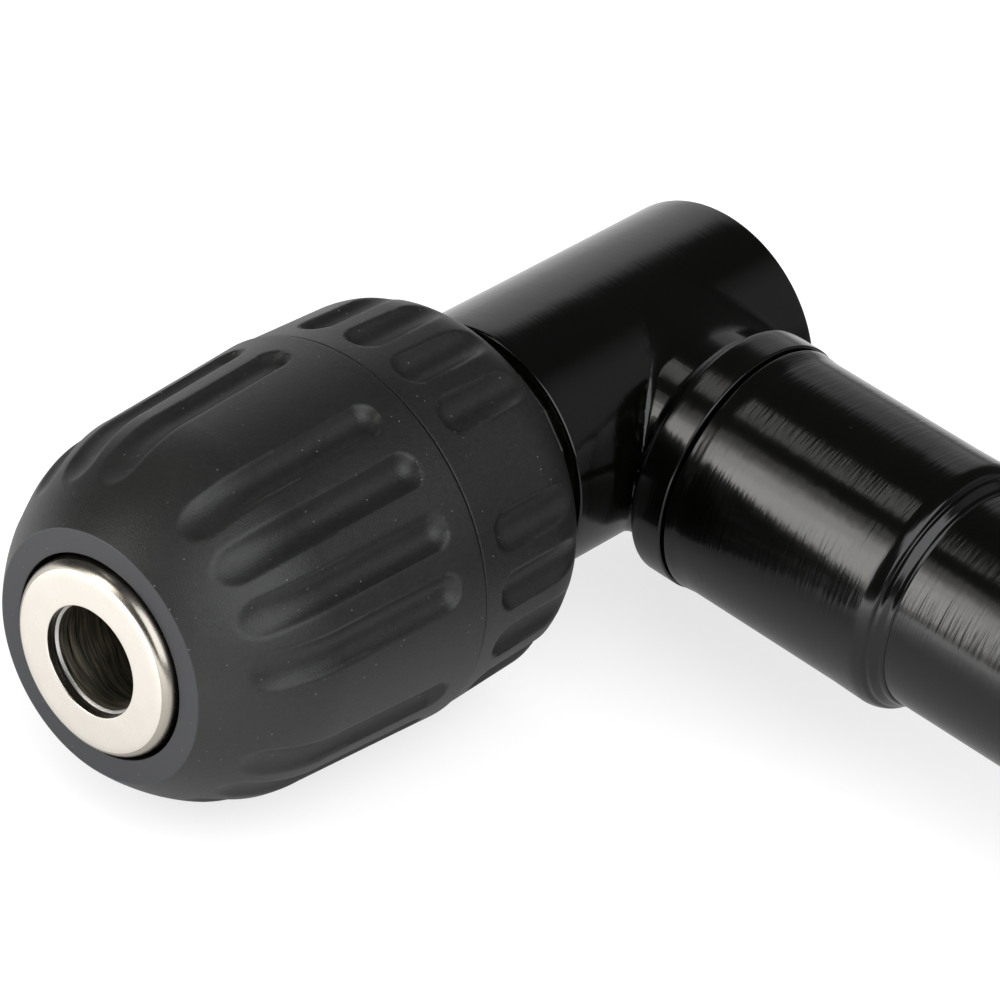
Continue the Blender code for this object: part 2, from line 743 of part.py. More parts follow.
def build_input_shaft(steel, parent):
    """The long shaft from the pinion to the hex shank, turned in one piece."""
    seat_start = GEAR_INNER_PITCH_RADIUS + FIT
    shoulder = PINION_BEARING_END + RUNNING
    collar = SHANK_BEARING_END + RUNNING
    outline = [
        (0, seat_start),
        (PINION_SEAT_RADIUS, seat_start),
        (PINION_SEAT_RADIUS, PINION_BEARING_START - RUNNING),
        (SHAFT_RADIUS, PINION_BEARING_START - RUNNING),
        (SHAFT_RADIUS, shoulder),
        (SHAFT_SHOULDER_RADIUS, shoulder),
        (SHAFT_SHOULDER_RADIUS, shoulder + SHAFT_SHOULDER_LENGTH),
        (SHAFT_RADIUS, shoulder + SHAFT_SHOULDER_LENGTH),
        (SHAFT_RADIUS, collar),
        (SHAFT_SHOULDER_RADIUS, collar),
        (SHAFT_SHOULDER_RADIUS, SHANK_START),
        (0, SHANK_START),
    ]
    shaft = turned("input_shaft", outline, SMALL_FACETS, steel, parent)
    corner = SHANK_ACROSS_FLATS / 2 / cos(pi / 6)
    shape = bmesh.new()
    add_turned(
        shape,
        [
            (0, SHANK_START - CUTTER_OVERRUN),
            (corner, SHANK_START - CUTTER_OVERRUN),
            (corner, SHANK_END - SHANK_CHAMFER),
            (corner - SHANK_CHAMFER, SHANK_END),
            (0, SHANK_END),
        ],
        6,
    )
    combine(shaft, add_object("shank_helper", shape, steel, parent), "UNION")
    hole = cross_pin(
        "pinion_pin_hole", pin_height(), CUTTER_LENGTH, PIN_RADIUS + PIN_CLEARANCE, steel, parent
    )
    combine(shaft, hole, "DIFFERENCE")


def pin_height():
    return GEAR_OUTER_PITCH_RADIUS + PIN_BEHIND_TEETH


def build_gears(steel, spindle_axis, barrel_axis):
    """Pinion and gear with the pins that hold them. Where they mesh, a tooth meets a gap."""
    pinion_hub_end = PINION_BEARING_START - RUNNING
    gear_hub_end = SPINDLE_BEARING_START - RUNNING
    towards_gear = pi
    towards_pinion = pi / 2
    half_pitch = pi / GEAR_TEETH
    pinion = bevel_gear("input_pinion", towards_gear, pinion_hub_end, steel, barrel_axis)
    gear = bevel_gear("output_gear", towards_pinion + half_pitch, gear_hub_end, steel, spindle_axis)
    length = 2 * (GEAR_HUB_RADIUS - PIN_SINK)
    for name, target, axis in (
        ("pinion_pin", pinion, barrel_axis),
        ("gear_pin", gear, spindle_axis),
    ):
        cross_pin(name, pin_height(), length, PIN_RADIUS, steel, axis)
        hole = cross_pin(
            name + "_helper",
            pin_height(),
            CUTTER_LENGTH,
            PIN_RADIUS + PIN_CLEARANCE,
            steel,
            axis,
        )
        combine(target, hole, "DIFFERENCE")


def build_spindle(steel, bronze, parent):
    """The output spindle, its rear bush and the circlip that keeps the front bearing in."""
    back = HEAD_BACK + HEAD_END_WALL + RUNNING
    shoulder = SPINDLE_BEARING_END + RUNNING
    outline = [
        (0, back),
        (GEAR_SEAT_RADIUS, back),
        (GEAR_SEAT_RADIUS, SPINDLE_BEARING_START - RUNNING),
        (SPINDLE_RADIUS, SPINDLE_BEARING_START - RUNNING),
        (SPINDLE_RADIUS, shoulder),
        (SPINDLE_SHOULDER_RADIUS, shoulder),
        (SPINDLE_SHOULDER_RADIUS, SPINDLE_SHOULDER_END),
        (THREAD_STUB_RADIUS, SPINDLE_SHOULDER_END),
        (THREAD_STUB_RADIUS, THREAD_STUB_END),
        (SCREW_RADIUS + FIT, THREAD_STUB_END),
        (SCREW_RADIUS + FIT, screw_end() - CUTTER_OVERRUN),
        (0, screw_end() - CUTTER_OVERRUN),
    ]
    spindle = turned("output_spindle", outline, SMALL_FACETS, steel, parent)
    hole = cross_pin(
        "gear_pin_hole", pin_height(), CUTTER_LENGTH, PIN_RADIUS + PIN_CLEARANCE, steel, parent
    )
    combine(spindle, hole, "DIFFERENCE")
    inner = GEAR_SEAT_RADIUS + RUNNING
    turned(
        "spindle_bush",
        tube_outline(inner, inner + BUSH_WALL, back, back + BUSH_LENGTH - 2 * RUNNING),
        SMALL_FACETS,
        bronze,
        parent,
    )
    circlip(
        "head_circlip", SPINDLE_BEARING_SEAT, SPINDLE_BEARING_END + RUNNING + FIT, steel, parent
    )


def screw_end():
    return BIT_BORE_BOTTOM + RUNNING - SCREW_LENGTH


def build_neck_fittings(steel, parent):
    """The wave washer and circlip that hold the pinion bearing in the neck."""
    outer = PINION_BEARING_SEAT - 2 * FIT
    start = PINION_BEARING_END + RUNNING
    turned(
        "wave_washer",
        tube_outline(outer - WAVE_WASHER_WALL, outer, start, start + WAVE_WASHER_THICKNESS),
        SMALL_FACETS,
        steel,
        parent,
    )
    circlip("neck_circlip", PINION_BEARING_SEAT, neck_circlip_start(), steel, parent)


def build_chuck_body(steel, parent):
    """The steel body with its bit bore and three leaning jaw holes."""
    groove = jaw_reach(NUT_END) - NUT_GROOVE_SINK
    shoulder = NUT_END + RUNNING
    taper = BODY_NOSE_END - NOSE_RING_SKIRT
    socket_end = BIT_BORE_BOTTOM - CHUCK_WEB
    outline = [
        (THREAD_STUB_RADIUS + FIT, BODY_START),
        (BODY_HUB_RADIUS, BODY_START),
        (BODY_HUB_RADIUS, BODY_FLANGE_START),
        (BODY_FLANGE_RADIUS, BODY_FLANGE_START),
        (BODY_FLANGE_RADIUS, THRUST_FACE),
        (groove, THRUST_FACE),
        (groove, shoulder),
        (BODY_RADIUS, shoulder),
        (BODY_RADIUS, shoulder + BODY_LAND),
        (BODY_NOSE_RADIUS, taper),
        (BODY_NOSE_RADIUS, BODY_NOSE_END),
        (BIT_BORE_RADIUS + BIT_BORE_CHAMFER, BODY_NOSE_END),
        (BIT_BORE_RADIUS, BODY_NOSE_END - BIT_BORE_CHAMFER),
        (BIT_BORE_RADIUS, BIT_BORE_BOTTOM),
        (SCREW_RADIUS + FIT, BIT_BORE_BOTTOM),
        (SCREW_RADIUS + FIT, socket_end),
        (THREAD_STUB_RADIUS + FIT, socket_end),
    ]
    body = turned("chuck_body", outline, CASE_FACETS, steel, parent)
    for i in range(JAW_COUNT):
        shape = bmesh.new()
        back = -jaw_front() - JAW_LENGTH - JAW_HOLE_OVERRUN
        add_rod(shape, jaw_place(jaw_turn(i)), JAW_HOLE_RADIUS, back, 0)
        hole = add_object(f"jaw_hole_{i + 1}", shape, steel, parent)
        combine(body, hole, "DIFFERENCE")


def jaw_turn(i):
    return FIRST_JAW_TURN + FULL_TURN * i / JAW_COUNT


def build_nose_ring(plated, parent):
    """The plated cap on the body's nose, with a rounded rim."""
    inner = BODY_NOSE_RADIUS + FIT
    rim = rounded_corner(NOSE_RING_RADIUS, NOSE_FACE, NOSE_RING_ROUNDING, 1)
    outline = [
        (inner, NOSE_FACE - NOSE_RING_SKIRT),
        (NOSE_RING_RADIUS, NOSE_FACE - NOSE_RING_SKIRT),
        *rim,
        (NOSE_BORE_RADIUS + NOSE_BORE_CHAMFER, NOSE_FACE),
        (NOSE_BORE_RADIUS, NOSE_FACE - NOSE_BORE_CHAMFER),
        (NOSE_BORE_RADIUS, NOSE_FACE - NOSE_RING_FACE),
        (inner, NOSE_FACE - NOSE_RING_FACE),
    ]
    turned("nose_ring", outline, CASE_FACETS, plated, parent)


def build_jaws(steel, parent):
    for i in range(JAW_COUNT):
        jaw(f"jaw_{i + 1}", jaw_turn(i), steel, parent)


def build_nut(steel, parent):
    """The split nut's two halves, the ring that holds them and the thrust bearing behind."""
    low = NUT_START
    inner_low = jaw_reach(low) + RUNNING
    inner_high = jaw_reach(NUT_END) + RUNNING
    outline = [
        (inner_low, low),
        (NUT_RADIUS, low),
        (NUT_RADIUS, NUT_END),
        (inner_high, NUT_END),
    ]
    slit = NUT_SPLIT / NUT_RADIUS
    for i, name in enumerate(("nut_half_a", "nut_half_b")):
        shape = bmesh.new()
        add_turned(shape, outline, SMALL_FACETS // 2, pi - slit, pi * i + slit / 2)
        add_object(name, shape, steel, parent)
    turned(
        "nut_ring",
        tube_outline(NUT_RADIUS + FIT, NUT_RING_RADIUS, low, NUT_END),
        SMALL_FACETS,
        steel,
        parent,
    )
    outer = BODY_FLANGE_RADIUS
    high = low - RUNNING
    turned(
        "thrust_washer",
        tube_outline(outer - THRUST_RING_WALL, outer, high - THRUST_WASHER_THICKNESS, high),
        SMALL_FACETS,
        steel,
        parent,
    )
    ball_ring(
        "thrust_balls",
        outer - THRUST_RING_WALL / 2,
        THRUST_BALL_RADIUS,
        THRUST_FACE + RUNNING + THRUST_BALL_RADIUS,
        steel,
        parent,
    )


def build_chuck_screw(steel, parent):
    """The screw through the bottom of the bit bore that locks the chuck on its spindle."""
    low = BIT_BORE_BOTTOM + RUNNING
    outline = [
        (0, screw_end()),
        (SCREW_RADIUS, screw_end()),
        (SCREW_RADIUS, low),
        (SCREW_HEAD_RADIUS, low),
        (SCREW_HEAD_RADIUS, low + SCREW_HEAD_HEIGHT - EDGE_BREAK),
        (SCREW_HEAD_RADIUS - EDGE_BREAK, low + SCREW_HEAD_HEIGHT),
        (0, low + SCREW_HEAD_HEIGHT),
    ]
    screw = turned("chuck_screw", outline, SMALL_FACETS, steel, parent)
    shape = bmesh.new()
    corner = SCREW_SOCKET_ACROSS_FLATS / 2 / cos(pi / 6)
    top = low + SCREW_HEAD_HEIGHT + CUTTER_OVERRUN
    add_turned(shape, rod_outline(corner, low + SCREW_SOCKET_FLOOR, top), 6)
    combine(screw, add_object("screw_socket", shape, steel, parent), "DIFFERENCE")


def sleeve_radius(height):
    """The radius of the fluted grip at a height, on the front sleeve."""
    if height >= BELL_SHOULDER:
        across = sqrt(1 - ((height - BELL_SHOULDER) / BELL_LENGTH_AXIS) ** 2)
        return BELL_SHOULDER_RADIUS - BELL_RADIUS_AXIS * (1 - across)
    share = (height - PARTING) / (BELL_SHOULDER - PARTING)
    return SLEEVE_RADIUS + share * (BELL_SHOULDER_RADIUS - SLEEVE_RADIUS)


def build_front_sleeve(plastic, parent):
    """The bell-shaped sleeve that turns the nut, with four groups of four flutes."""
    low = PARTING + SEAM / 2
    mouth = NOSE_RING_RADIUS + SEAM
    bell = quarter_ellipse(
        BELL_SHOULDER,
        BELL_RADIUS_AXIS,
        BELL_LENGTH_AXIS,
        BELL_SHOULDER_RADIUS,
        BELL_FACE,
        BELL_POINTS,
    )
    neck_start = NOSE_FACE - NOSE_RING_SKIRT - BELL_NECK
    outline = [
        (SLEEVE_BORE, low),
        (SLEEVE_RADIUS - EDGE_BREAK, low),
        (SLEEVE_RADIUS, low + EDGE_BREAK),
        *bell,
        (mouth, BELL_FACE),
        (mouth, neck_start),
        (SLEEVE_BORE, neck_start - (SLEEVE_BORE - mouth)),
    ]
    sleeve = turned("front_sleeve", outline, SLEEVE_FACETS, plastic, parent)
    heights = flute_heights(FRONT_FLUTE_START, FRONT_FLUTE_END, FRONT_FLUTE_STATIONS)
    path = [(sleeve_radius(h), h) for h in heights]
    cutter = flute_cutter(
        "front_flutes", path, FRONT_FLUTE_WIDTH, FLUTE_DEPTH, FLUTE_STEP, parent, plastic
    )
    combine(sleeve, cutter, "DIFFERENCE")


def flute_heights(start, end, count):
    """Heights of a flute's stations: its two ends, one close inside each, and an even run between."""
    run = FLUTE_END_RUN if end > start else -FLUTE_END_RUN
    step = (end - start - 2 * run) / (count - 1)
    inner = [start + run + step * i for i in range(count)]
    return [start, *inner, end]


def build_rear_sleeve(plastic, parent):
    """The sleeve that is held still, pressed on the body's hub.

    Its flutes are straight along the axis, so they run out where the rear shoulder falls away.
    """
    high = PARTING - SEAM / 2
    shoulder = quarter_ellipse(
        REAR_SHOULDER,
        REAR_RADIUS_AXIS,
        REAR_LENGTH_AXIS,
        REAR_SHOULDER_RADIUS,
        REAR_FACE,
        REAR_POINTS,
    )
    outline = [
        (REAR_SLEEVE_BORE, high),
        (REAR_SLEEVE_RADIUS - EDGE_BREAK, high),
        (REAR_SLEEVE_RADIUS, high - EDGE_BREAK),
        *shoulder,
        (BODY_HUB_RADIUS + FIT, REAR_FACE),
        (BODY_HUB_RADIUS + FIT, REAR_FACE + REAR_WEB),
        (REAR_SLEEVE_BORE, REAR_FACE + REAR_WEB),
    ]
    sleeve = turned("rear_sleeve", outline, SLEEVE_FACETS, plastic, parent)
    heights = flute_heights(REAR_FLUTE_START, REAR_FACE - REAR_FLUTE_OVERRUN, REAR_FLUTE_STATIONS)
    path = [(REAR_SHOULDER_RADIUS, h) for h in heights]
    first_turn = REAR_FLUTE_TURN - (FLUTES_IN_GROUP - 1) / 2 * FLUTE_STEP
    cutter = flute_cutter(
        "rear_flutes", path, REAR_FLUTE_WIDTH, FLUTE_DEPTH, first_turn, parent, plastic
    )
    combine(sleeve, cutter, "DIFFERENCE")


def main():
    for old in list(bpy.data.objects):
        bpy.data.objects.remove(old)
    coat = material("gloss_black_coat", (0.01, 0.01, 0.012), 0.15, 0.0)
    plastic = material("black_plastic", (0.03, 0.03, 0.032), 0.5, 0.0)
    plated = material("nickel_plate", (0.72, 0.68, 0.62), 0.25, 1.0)
    steel = material("machined_steel", (0.45, 0.44, 0.42), 0.35, 1.0)
    bronze = material("sintered_bronze", (0.5, 0.33, 0.16), 0.45, 1.0)
    rubber = material("seal_rubber", (0.02, 0.02, 0.02), 0.7, 0.0)
    spindle_axis = axis_empty("spindle_axis", (pi / 2, 0, 0))
    barrel_axis = axis_empty("barrel_axis", (0, pi / 2, 0))
    build_head_housing(coat, spindle_axis, barrel_axis)
    build_barrel(coat, barrel_axis)
    build_end_cap(coat, rubber, steel, barrel_axis)
    build_input_shaft(steel, barrel_axis)
    build_gears(steel, spindle_axis, barrel_axis)
    build_neck_fittings(steel, barrel_axis)
    build_bearings(steel, spindle_axis, barrel_axis)
    build_spindle(steel, bronze, spindle_axis)
    build_chuck_body(steel, spindle_axis)
    build_nose_ring(plated, spindle_axis)
    build_jaws(steel, spindle_axis)
    build_nut(steel, spindle_axis)
    build_chuck_screw(steel, spindle_axis)
    build_front_sleeve(plastic, spindle_axis)
    build_rear_sleeve(plastic, spindle_axis)
    bpy.context.view_layer.update()


main()
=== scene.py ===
"""Looks of a right angle drill adapter with a keyless chuck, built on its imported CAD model.

The spindle's axis runs along -Y and the barrel's along +X. They cross at the corner.
Lengths are written in millimetres and turned into metres where a mesh is made.
"""

import json
from math import cos, pi, radians, sin, tan

import bmesh
import bpy
import numpy as np
from mathutils import Matrix, Vector


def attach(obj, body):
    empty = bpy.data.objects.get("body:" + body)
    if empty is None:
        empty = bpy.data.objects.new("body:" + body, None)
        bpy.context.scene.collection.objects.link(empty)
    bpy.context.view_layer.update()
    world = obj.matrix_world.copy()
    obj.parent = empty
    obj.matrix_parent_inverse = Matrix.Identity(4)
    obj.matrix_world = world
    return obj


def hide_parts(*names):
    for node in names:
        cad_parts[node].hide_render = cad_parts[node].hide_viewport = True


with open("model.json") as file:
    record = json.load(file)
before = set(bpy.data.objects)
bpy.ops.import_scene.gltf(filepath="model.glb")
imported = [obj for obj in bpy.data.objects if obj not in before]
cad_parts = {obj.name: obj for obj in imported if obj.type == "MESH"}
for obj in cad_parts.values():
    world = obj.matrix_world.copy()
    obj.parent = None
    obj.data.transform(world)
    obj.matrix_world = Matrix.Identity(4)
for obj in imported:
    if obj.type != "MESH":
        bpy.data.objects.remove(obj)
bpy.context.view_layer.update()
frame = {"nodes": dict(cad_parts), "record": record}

MM = 0.001
CORNER = Vector((-0.148, 0, 0))

# Chuck sleeves. Places are distances along the spindle's axis from the corner.
PARTING = 38.0
FRONT_SLEEVE_START = PARTING + 0.1
REAR_SLEEVE_END = PARTING - 0.1
SLEEVE_RADIUS = 18.9
BELL_SHOULDER = 54.5
BELL_SHOULDER_RADIUS = 18.05
BELL_LENGTH_AXIS = 26.0
BELL_RADIUS_AXIS = 43.7
BELL_FACE = 67.6
MOUTH_RADIUS = 9.8
MOUTH_START = 61.6
SLEEVE_BORE = 14.1
SLEEVE_BORE_END = 57.3
REAR_FACE = 23.2
REAR_SHOULDER = 28.5
REAR_SLEEVE_RADIUS = 18.75
REAR_SHOULDER_RADIUS = 18.4
REAR_LENGTH_AXIS = 6.5
REAR_RADIUS_AXIS = 5.0
REAR_SLEEVE_BORE = 15.4
REAR_WALL = 2.4
HUB_BORE = 9.2

# Flutes. Every fifth place round a sleeve has none. The depth falls from the fade to the end,
# where the share named shallow is left.
FLUTE_STEP = radians(18)
FLUTE_PLACES = 5
FLUTE_DEPTH = 1.0
FLUTE_RIM = 0.14
FRONT_FLUTE = dict(
    first=radians(18), start=41.0, end=63.8, width=3.5, tip=1.3, fade=BELL_SHOULDER, shallow=0.5
)
REAR_FLUTE = dict(
    first=radians(-25.5), start=20.0, end=35.6, width=3.6, tip=1.0, fade=REAR_SHOULDER, shallow=1.0
)
FLUTED_START = 39.0
FLUTED_END = 66.2

# Chuck body
HUB_START = 22.5
HUB_RADIUS = 9.0
BODY_START = 28.5
BODY_RADIUS = 13.6
NUT_GROOVE_START = 42.6
NUT_GROOVE_END = 52.3
NUT_FRONT = 52.0
BODY_FRONT_RADIUS = 11.5
BODY_CONE_START = 55.3
BODY_CONE_END = 62.55
SPINDLE_BORE = 4.96
SPINDLE_BORE_END = 36.5
SCREW_HOLE = 2.5

# Nose and jaws. The tip, back and teeth are distances forward from a jaw's apex along its own
# axis, and the teeth stand bare of the nut groove's floor by the last value.
NOSE_FACE = 68.75
NOSE_RING_RADIUS = 9.4
NOSE_BORE_RADIUS = 5.3
NOSE_RING_LENGTH = 5.2
NOSE_RING_LIP = 0.7
BODY_NOSE_RADIUS = 7.5
BODY_NOSE_END = 67.75
BIT_BORE_RADIUS = 5.05
BIT_BORE_BOTTOM = 40.0
JAW_ANGLE = radians(16)
JAW_APEX = 72.5
JAW_RADIUS = 3.0
JAW_LENGTH = 26.0
JAW_OPEN_RADIUS = 5.0
JAW_TURNS = [radians(turn) for turn in (180, 300, 60)]
JAW_HOLE_RADIUS = JAW_RADIUS + 0.3
JAW_TIP = -JAW_OPEN_RADIUS / sin(JAW_ANGLE)
JAW_BACK = JAW_TIP - JAW_LENGTH
JAW_HOLE_BACK = JAW_BACK - 6
TOOTH_PITCH = 1.27
TOOTH_DEPTH = 0.55
TEETH_START = -26.5
TEETH_FULL = -27.2
TEETH_BARE = 0.45

# Housing. The head's places are along the spindle's axis, the others along the barrel's.
HEAD_RADIUS = 12.95
HEAD_FRONT = 18.8
HEAD_BACK = -14.6
HEAD_ROUNDING = 0.55
HEAD_BACK_WALL = 1.8
NECK_ROOT = 2.5
NECK_RADIUS = 10.9
NECK_FILLET = 2.3
NECK_CREASE = 0.5
NECK_FLARE_START = 12.4
COLLAR_START = 14.4
COLLAR_RADIUS = 12.75
COLLAR_END = 17.6
SPIGOT_RADIUS = 11.0
SPIGOT_END = 27.0
FILLET_OVERLAP = 0.03
BUSH_SEAT_RADIUS = 6.3
BUSH_SEAT_DEPTH = 3.2
GEAR_CHAMBER_RADIUS = 8.85
BEARING_SEAT_RADIUS = 11.2
BEARING_SEAT_START = 10.2
NECK_BORE_RADIUS = 8.5
NECK_SEAT_RADIUS = 9.7
NECK_SEAT_START = 11.5
BARREL_RADIUS = 12.5
BARREL_START = 17.95
BARREL_END = 41.0
BARREL_BORE = 11.2
LIP_RADIUS = 11.8
TUBE_RADIUS = 10.9
TUBE_BORE = 9.4
TUBE_START = 27.3
TUBE_END = 112.0
CAP_START = 103.0
CAP_PLUG_RADIUS = 9.2
CAP_BORE = 8.2
CAP_BORE_END = 110.8
CAP_JOINT = TUBE_END + 0.15
CAP_END = 115.5
SEAL_SEAT_RADIUS = 7.5
SEAL_SEAT_START = 112.4
SHAFT_HOLE_RADIUS = 5.2

# Shaft and shank
PINION_SEAT_RADIUS = 3.1
PINION_SEAT_START = 5.2
PINION_SEAT_END = 11.5
SHAFT_RADIUS = 4.0
SHOULDER_RADIUS = 4.9
SHOULDER_START = 18.1
SHOULDER_END = 20.1
SHANK_START = 117.0
SHANK_END = 148.0
SHANK_ACROSS_FLATS = 8.0
SHANK_CORNER = SHANK_ACROSS_FLATS / 2 / cos(pi / 6)
SHANK_BLANK_RADIUS = 4.58

# How finely a piece is divided round its axis and over a rounding, and which edges are sharp
SLEEVE_COLUMNS = 520
HOUSING_COLUMNS = 224
NECK_COLUMNS = 300
RING_COLUMNS = 160
TUBE_COLUMNS = 192
STEEL_COLUMNS = 144
JAW_COLUMNS = 96
JAW_HOLE_COLUMNS = 72
CHAMBER_COLUMNS = 96
ROUNDING_ROWS = 7
SHARP_ANGLE = 35

# Light and camera. The photograph is 1000 pixels wide, and its own numbers are in pixels.
WARM = (1.0, 0.985, 0.95)
COOL = (0.98, 0.99, 1.02)
KEY = dict(azimuth=-32, elevation=22)
LAMPS_AIM = Vector((-0.125, -0.015, 0))
FLOOR_LEVEL = -0.0192
FLOOR_REACH = 4.0
PHOTO_WIDTH = 1000
FOCAL_PIXELS = 6270.0
PIXELS_PER_MM = 10.63
CORNER_PIXEL = (610.07, 380.93)
CAMERA_AZIMUTH = 37.41
CAMERA_ELEVATION = 35.79
CAMERA_ROLL = radians(8.62)
SENSOR = 36.0


def around_spindle(radius, turn, height):
    """x = radius sin(turn), y = -height, z = radius cos(turn), from the corner."""
    radius, turn, height = np.broadcast_arrays(radius, turn, height)
    points = np.stack([radius * np.sin(turn), -height, radius * np.cos(turn)], -1)
    return points * MM + np.array(CORNER)


def around_barrel(radius, turn, height):
    """x = height, y = radius sin(turn), z = radius cos(turn), from the corner."""
    radius, turn, height = np.broadcast_arrays(radius, turn, height)
    points = np.stack([height, radius * np.sin(turn), radius * np.cos(turn)], -1)
    return points * MM + np.array(CORNER)


def full_turn(columns):
    """Evenly spaced angles 2 pi k / columns."""
    return np.arange(columns) * 2 * pi / columns


def smooth_step(low, high, value):
    """3t^2 - 2t^3, where t is the share of the way from low to high."""
    share = np.clip((value - low) / (high - low), 0, 1)
    return share * share * (3 - 2 * share)


def outline(corners, step, closed=True):
    """A profile through (radius, height, rounding) corners, as rows of (radius, height).

    A rounded corner is the curve (1-t)^2 A + 2t(1-t) C + t^2 B, where C is the corner and A and B
    lie at the rounding's distance along its two sides. Straight runs are divided evenly, so that
    each row is less than two steps from the next.
    """
    spots = np.array([corner[:2] for corner in corners], float)
    curves = []
    for i, corner in enumerate(corners):
        rounding = corner[2] if len(corner) > 2 else 0
        ends = not closed and i in (0, len(corners) - 1)
        if not rounding or ends:
            curves.append(spots[i][None])
            continue
        before = spots[i - 1] - spots[i]
        after = spots[(i + 1) % len(spots)] - spots[i]
        a = spots[i] + before / np.linalg.norm(before) * rounding
        b = spots[i] + after / np.linalg.norm(after) * rounding
        t = np.linspace(0, 1, ROUNDING_ROWS)[:, None]
        curves.append((1 - t) ** 2 * a + 2 * t * (1 - t) * spots[i] + t**2 * b)
    rows = []
    last = len(curves) if closed else len(curves) - 1
    for i, curve in enumerate(curves):
        rows.append(curve)
        if i < last:
            start = curve[-1]
            run = curves[(i + 1) % len(curves)][0] - start
            parts = int(np.linalg.norm(run) / step)
            if parts > 1:
                rows.append(start + run * (np.arange(1, parts) / parts)[:, None])
    return np.concatenate(rows)


def ellipse_run(centre, length_axis, radius_axis, widest, until, count):
    """Rows on the ellipse r = widest - radius_axis (1 - sqrt(1 - ((h - centre) / length_axis)^2)).

    They draw closer towards the end, where the ellipse turns faster.
    """
    share = 1 - (1 - np.linspace(0, 1, count)) ** 1.6
    height = centre + (until - centre) * share
    across = np.sqrt(1 - ((height - centre) / length_axis) ** 2)
    return [(r, h) for r, h in zip(widest - radius_axis * (1 - across), height)]


def grid_mesh(name, points, closed):
    """A mesh from a grid of points, rows by columns. The columns always close round."""
    rows, columns = points.shape[:2]
    index = np.arange(rows * columns).reshape(rows, columns)
    low = index if closed else index[:-1]
    high = np.roll(index, -1, 0) if closed else index[1:]
    quads = np.stack([low, np.roll(low, -1, 1), np.roll(high, -1, 1), high], -1).reshape(-1, 4)
    flat = points.reshape(-1, 3)
    a, b, c, d = (flat[quads[:, k]] for k in range(4))
    volume = np.einsum("ij,ij->", a, np.cross(b, c) + np.cross(c, d))
    if volume < 0:
        quads = quads[:, ::-1]
    mesh = bpy.data.meshes.new(name)
    mesh.vertices.add(len(flat))
    mesh.vertices.foreach_set("co", flat.astype(np.float32).ravel())
    mesh.loops.add(quads.size)
    mesh.loops.foreach_set("vertex_index", quads.astype(np.int32).ravel())
    mesh.polygons.add(len(quads))
    mesh.polygons.foreach_set("loop_start", np.arange(len(quads), dtype=np.int32) * 4)
    mesh.update(calc_edges=True)
    return mesh


def add_piece(name, points, closed=True, sharp=SHARP_ANGLE):
    """The grid as an object at the origin, its poles merged, smooth but for its real edges."""
    mesh = grid_mesh(name, points, closed)
    shape = bmesh.new()
    shape.from_mesh(mesh)
    bmesh.ops.remove_doubles(shape, verts=shape.verts, dist=1e-7)
    shape.to_mesh(mesh)
    shape.free()
    mesh.shade_smooth()
    mesh.set_sharp_from_angle(angle=radians(sharp))
    piece = bpy.data.objects.new(name, mesh)
    bpy.context.scene.collection.objects.link(piece)
    return piece


def dress(piece, finish, body, slot, *nodes):
    """The piece takes its finish, moves with its body and stands for its CAD nodes."""
    piece.data.materials.clear()
    piece.data.materials.append(finish)
    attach(piece, body)
    if nodes:
        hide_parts(*nodes)


def combine(piece, others, operation):
    """Join or cut with helper pieces, which are then removed."""
    for other in others:
        change = piece.modifiers.new(other.name, "BOOLEAN")
        change.operation = operation
        change.solver = "EXACT"
        change.object = other
    graph = bpy.context.evaluated_depsgraph_get()
    mesh = bpy.data.meshes.new_from_object(piece.evaluated_get(graph))
    piece.modifiers.clear()
    piece.data = mesh
    for other in others:
        bpy.data.objects.remove(other)
    mesh.shade_smooth()
    mesh.set_sharp_from_angle(angle=radians(SHARP_ANGLE))


def scoop(across, along, flute, depth, drop):
    """Depth of a flute: sqrt(R^2 - q^2) - (R - depth), where q is the distance from its middle line.

    R is the radius of a round cutter that is as wide as the flute at the depth. Its far end is
    drawn out by the tip's factor and made shallower. The drop is how far the surface lies under
    the line that the depth is measured from. The rim is softened by (v + sqrt(v^2 + rim^2)) / 2.
    """
    half = flute["width"] / 2
    cutter = half**2 / (2 * depth) + depth / 2
    tip = flute["tip"] * half
    past = np.maximum(flute["start"] + half - along, (along - flute["end"] + tip) * half / tip)
    distance = np.minimum(across**2 + np.maximum(past, 0) ** 2, (cutter * 0.999) ** 2)
    run_out = smooth_step(flute["fade"], flute["end"], along)
    cut = np.sqrt(cutter**2 - distance) - (cutter - depth) - drop
    cut = cut * (1 - (1 - flute["shallow"]) * run_out)
    return (cut + np.sqrt(cut**2 + FLUTE_RIM**2)) / 2


def fluted(rows, turns, flute, outside, straight=None):
    """The rows turned round, with flutes pressed in along the surface's normal.

    They are pressed only into the rows marked outside, so that the bore stays round. With a
    straight radius, each flute's floor keeps its distance from the axis instead, so it runs out
    where the surface falls away.
    """
    radius, height = rows[:, :1], rows[:, 1:]
    drop = straight - radius if straight else 0
    slope = np.gradient(rows, axis=0)
    slope /= np.maximum(np.linalg.norm(slope, axis=1), 1e-9)[:, None]
    normal_radius = np.abs(slope[:, 1:])
    normal_height = -slope[:, :1] * np.sign(slope[:, 1:])
    place = (turns - flute["first"]) / FLUTE_STEP
    nearest = np.round(place)
    cuts = scoop((place - nearest) * FLUTE_STEP * radius, height, flute, FLUTE_DEPTH, drop)
    has_flute = nearest % FLUTE_PLACES != FLUTE_PLACES - 1
    cuts = np.where(has_flute & outside[:, None], cuts, 0)
    return around_spindle(radius - cuts * normal_radius, turns, height - cuts * normal_height)


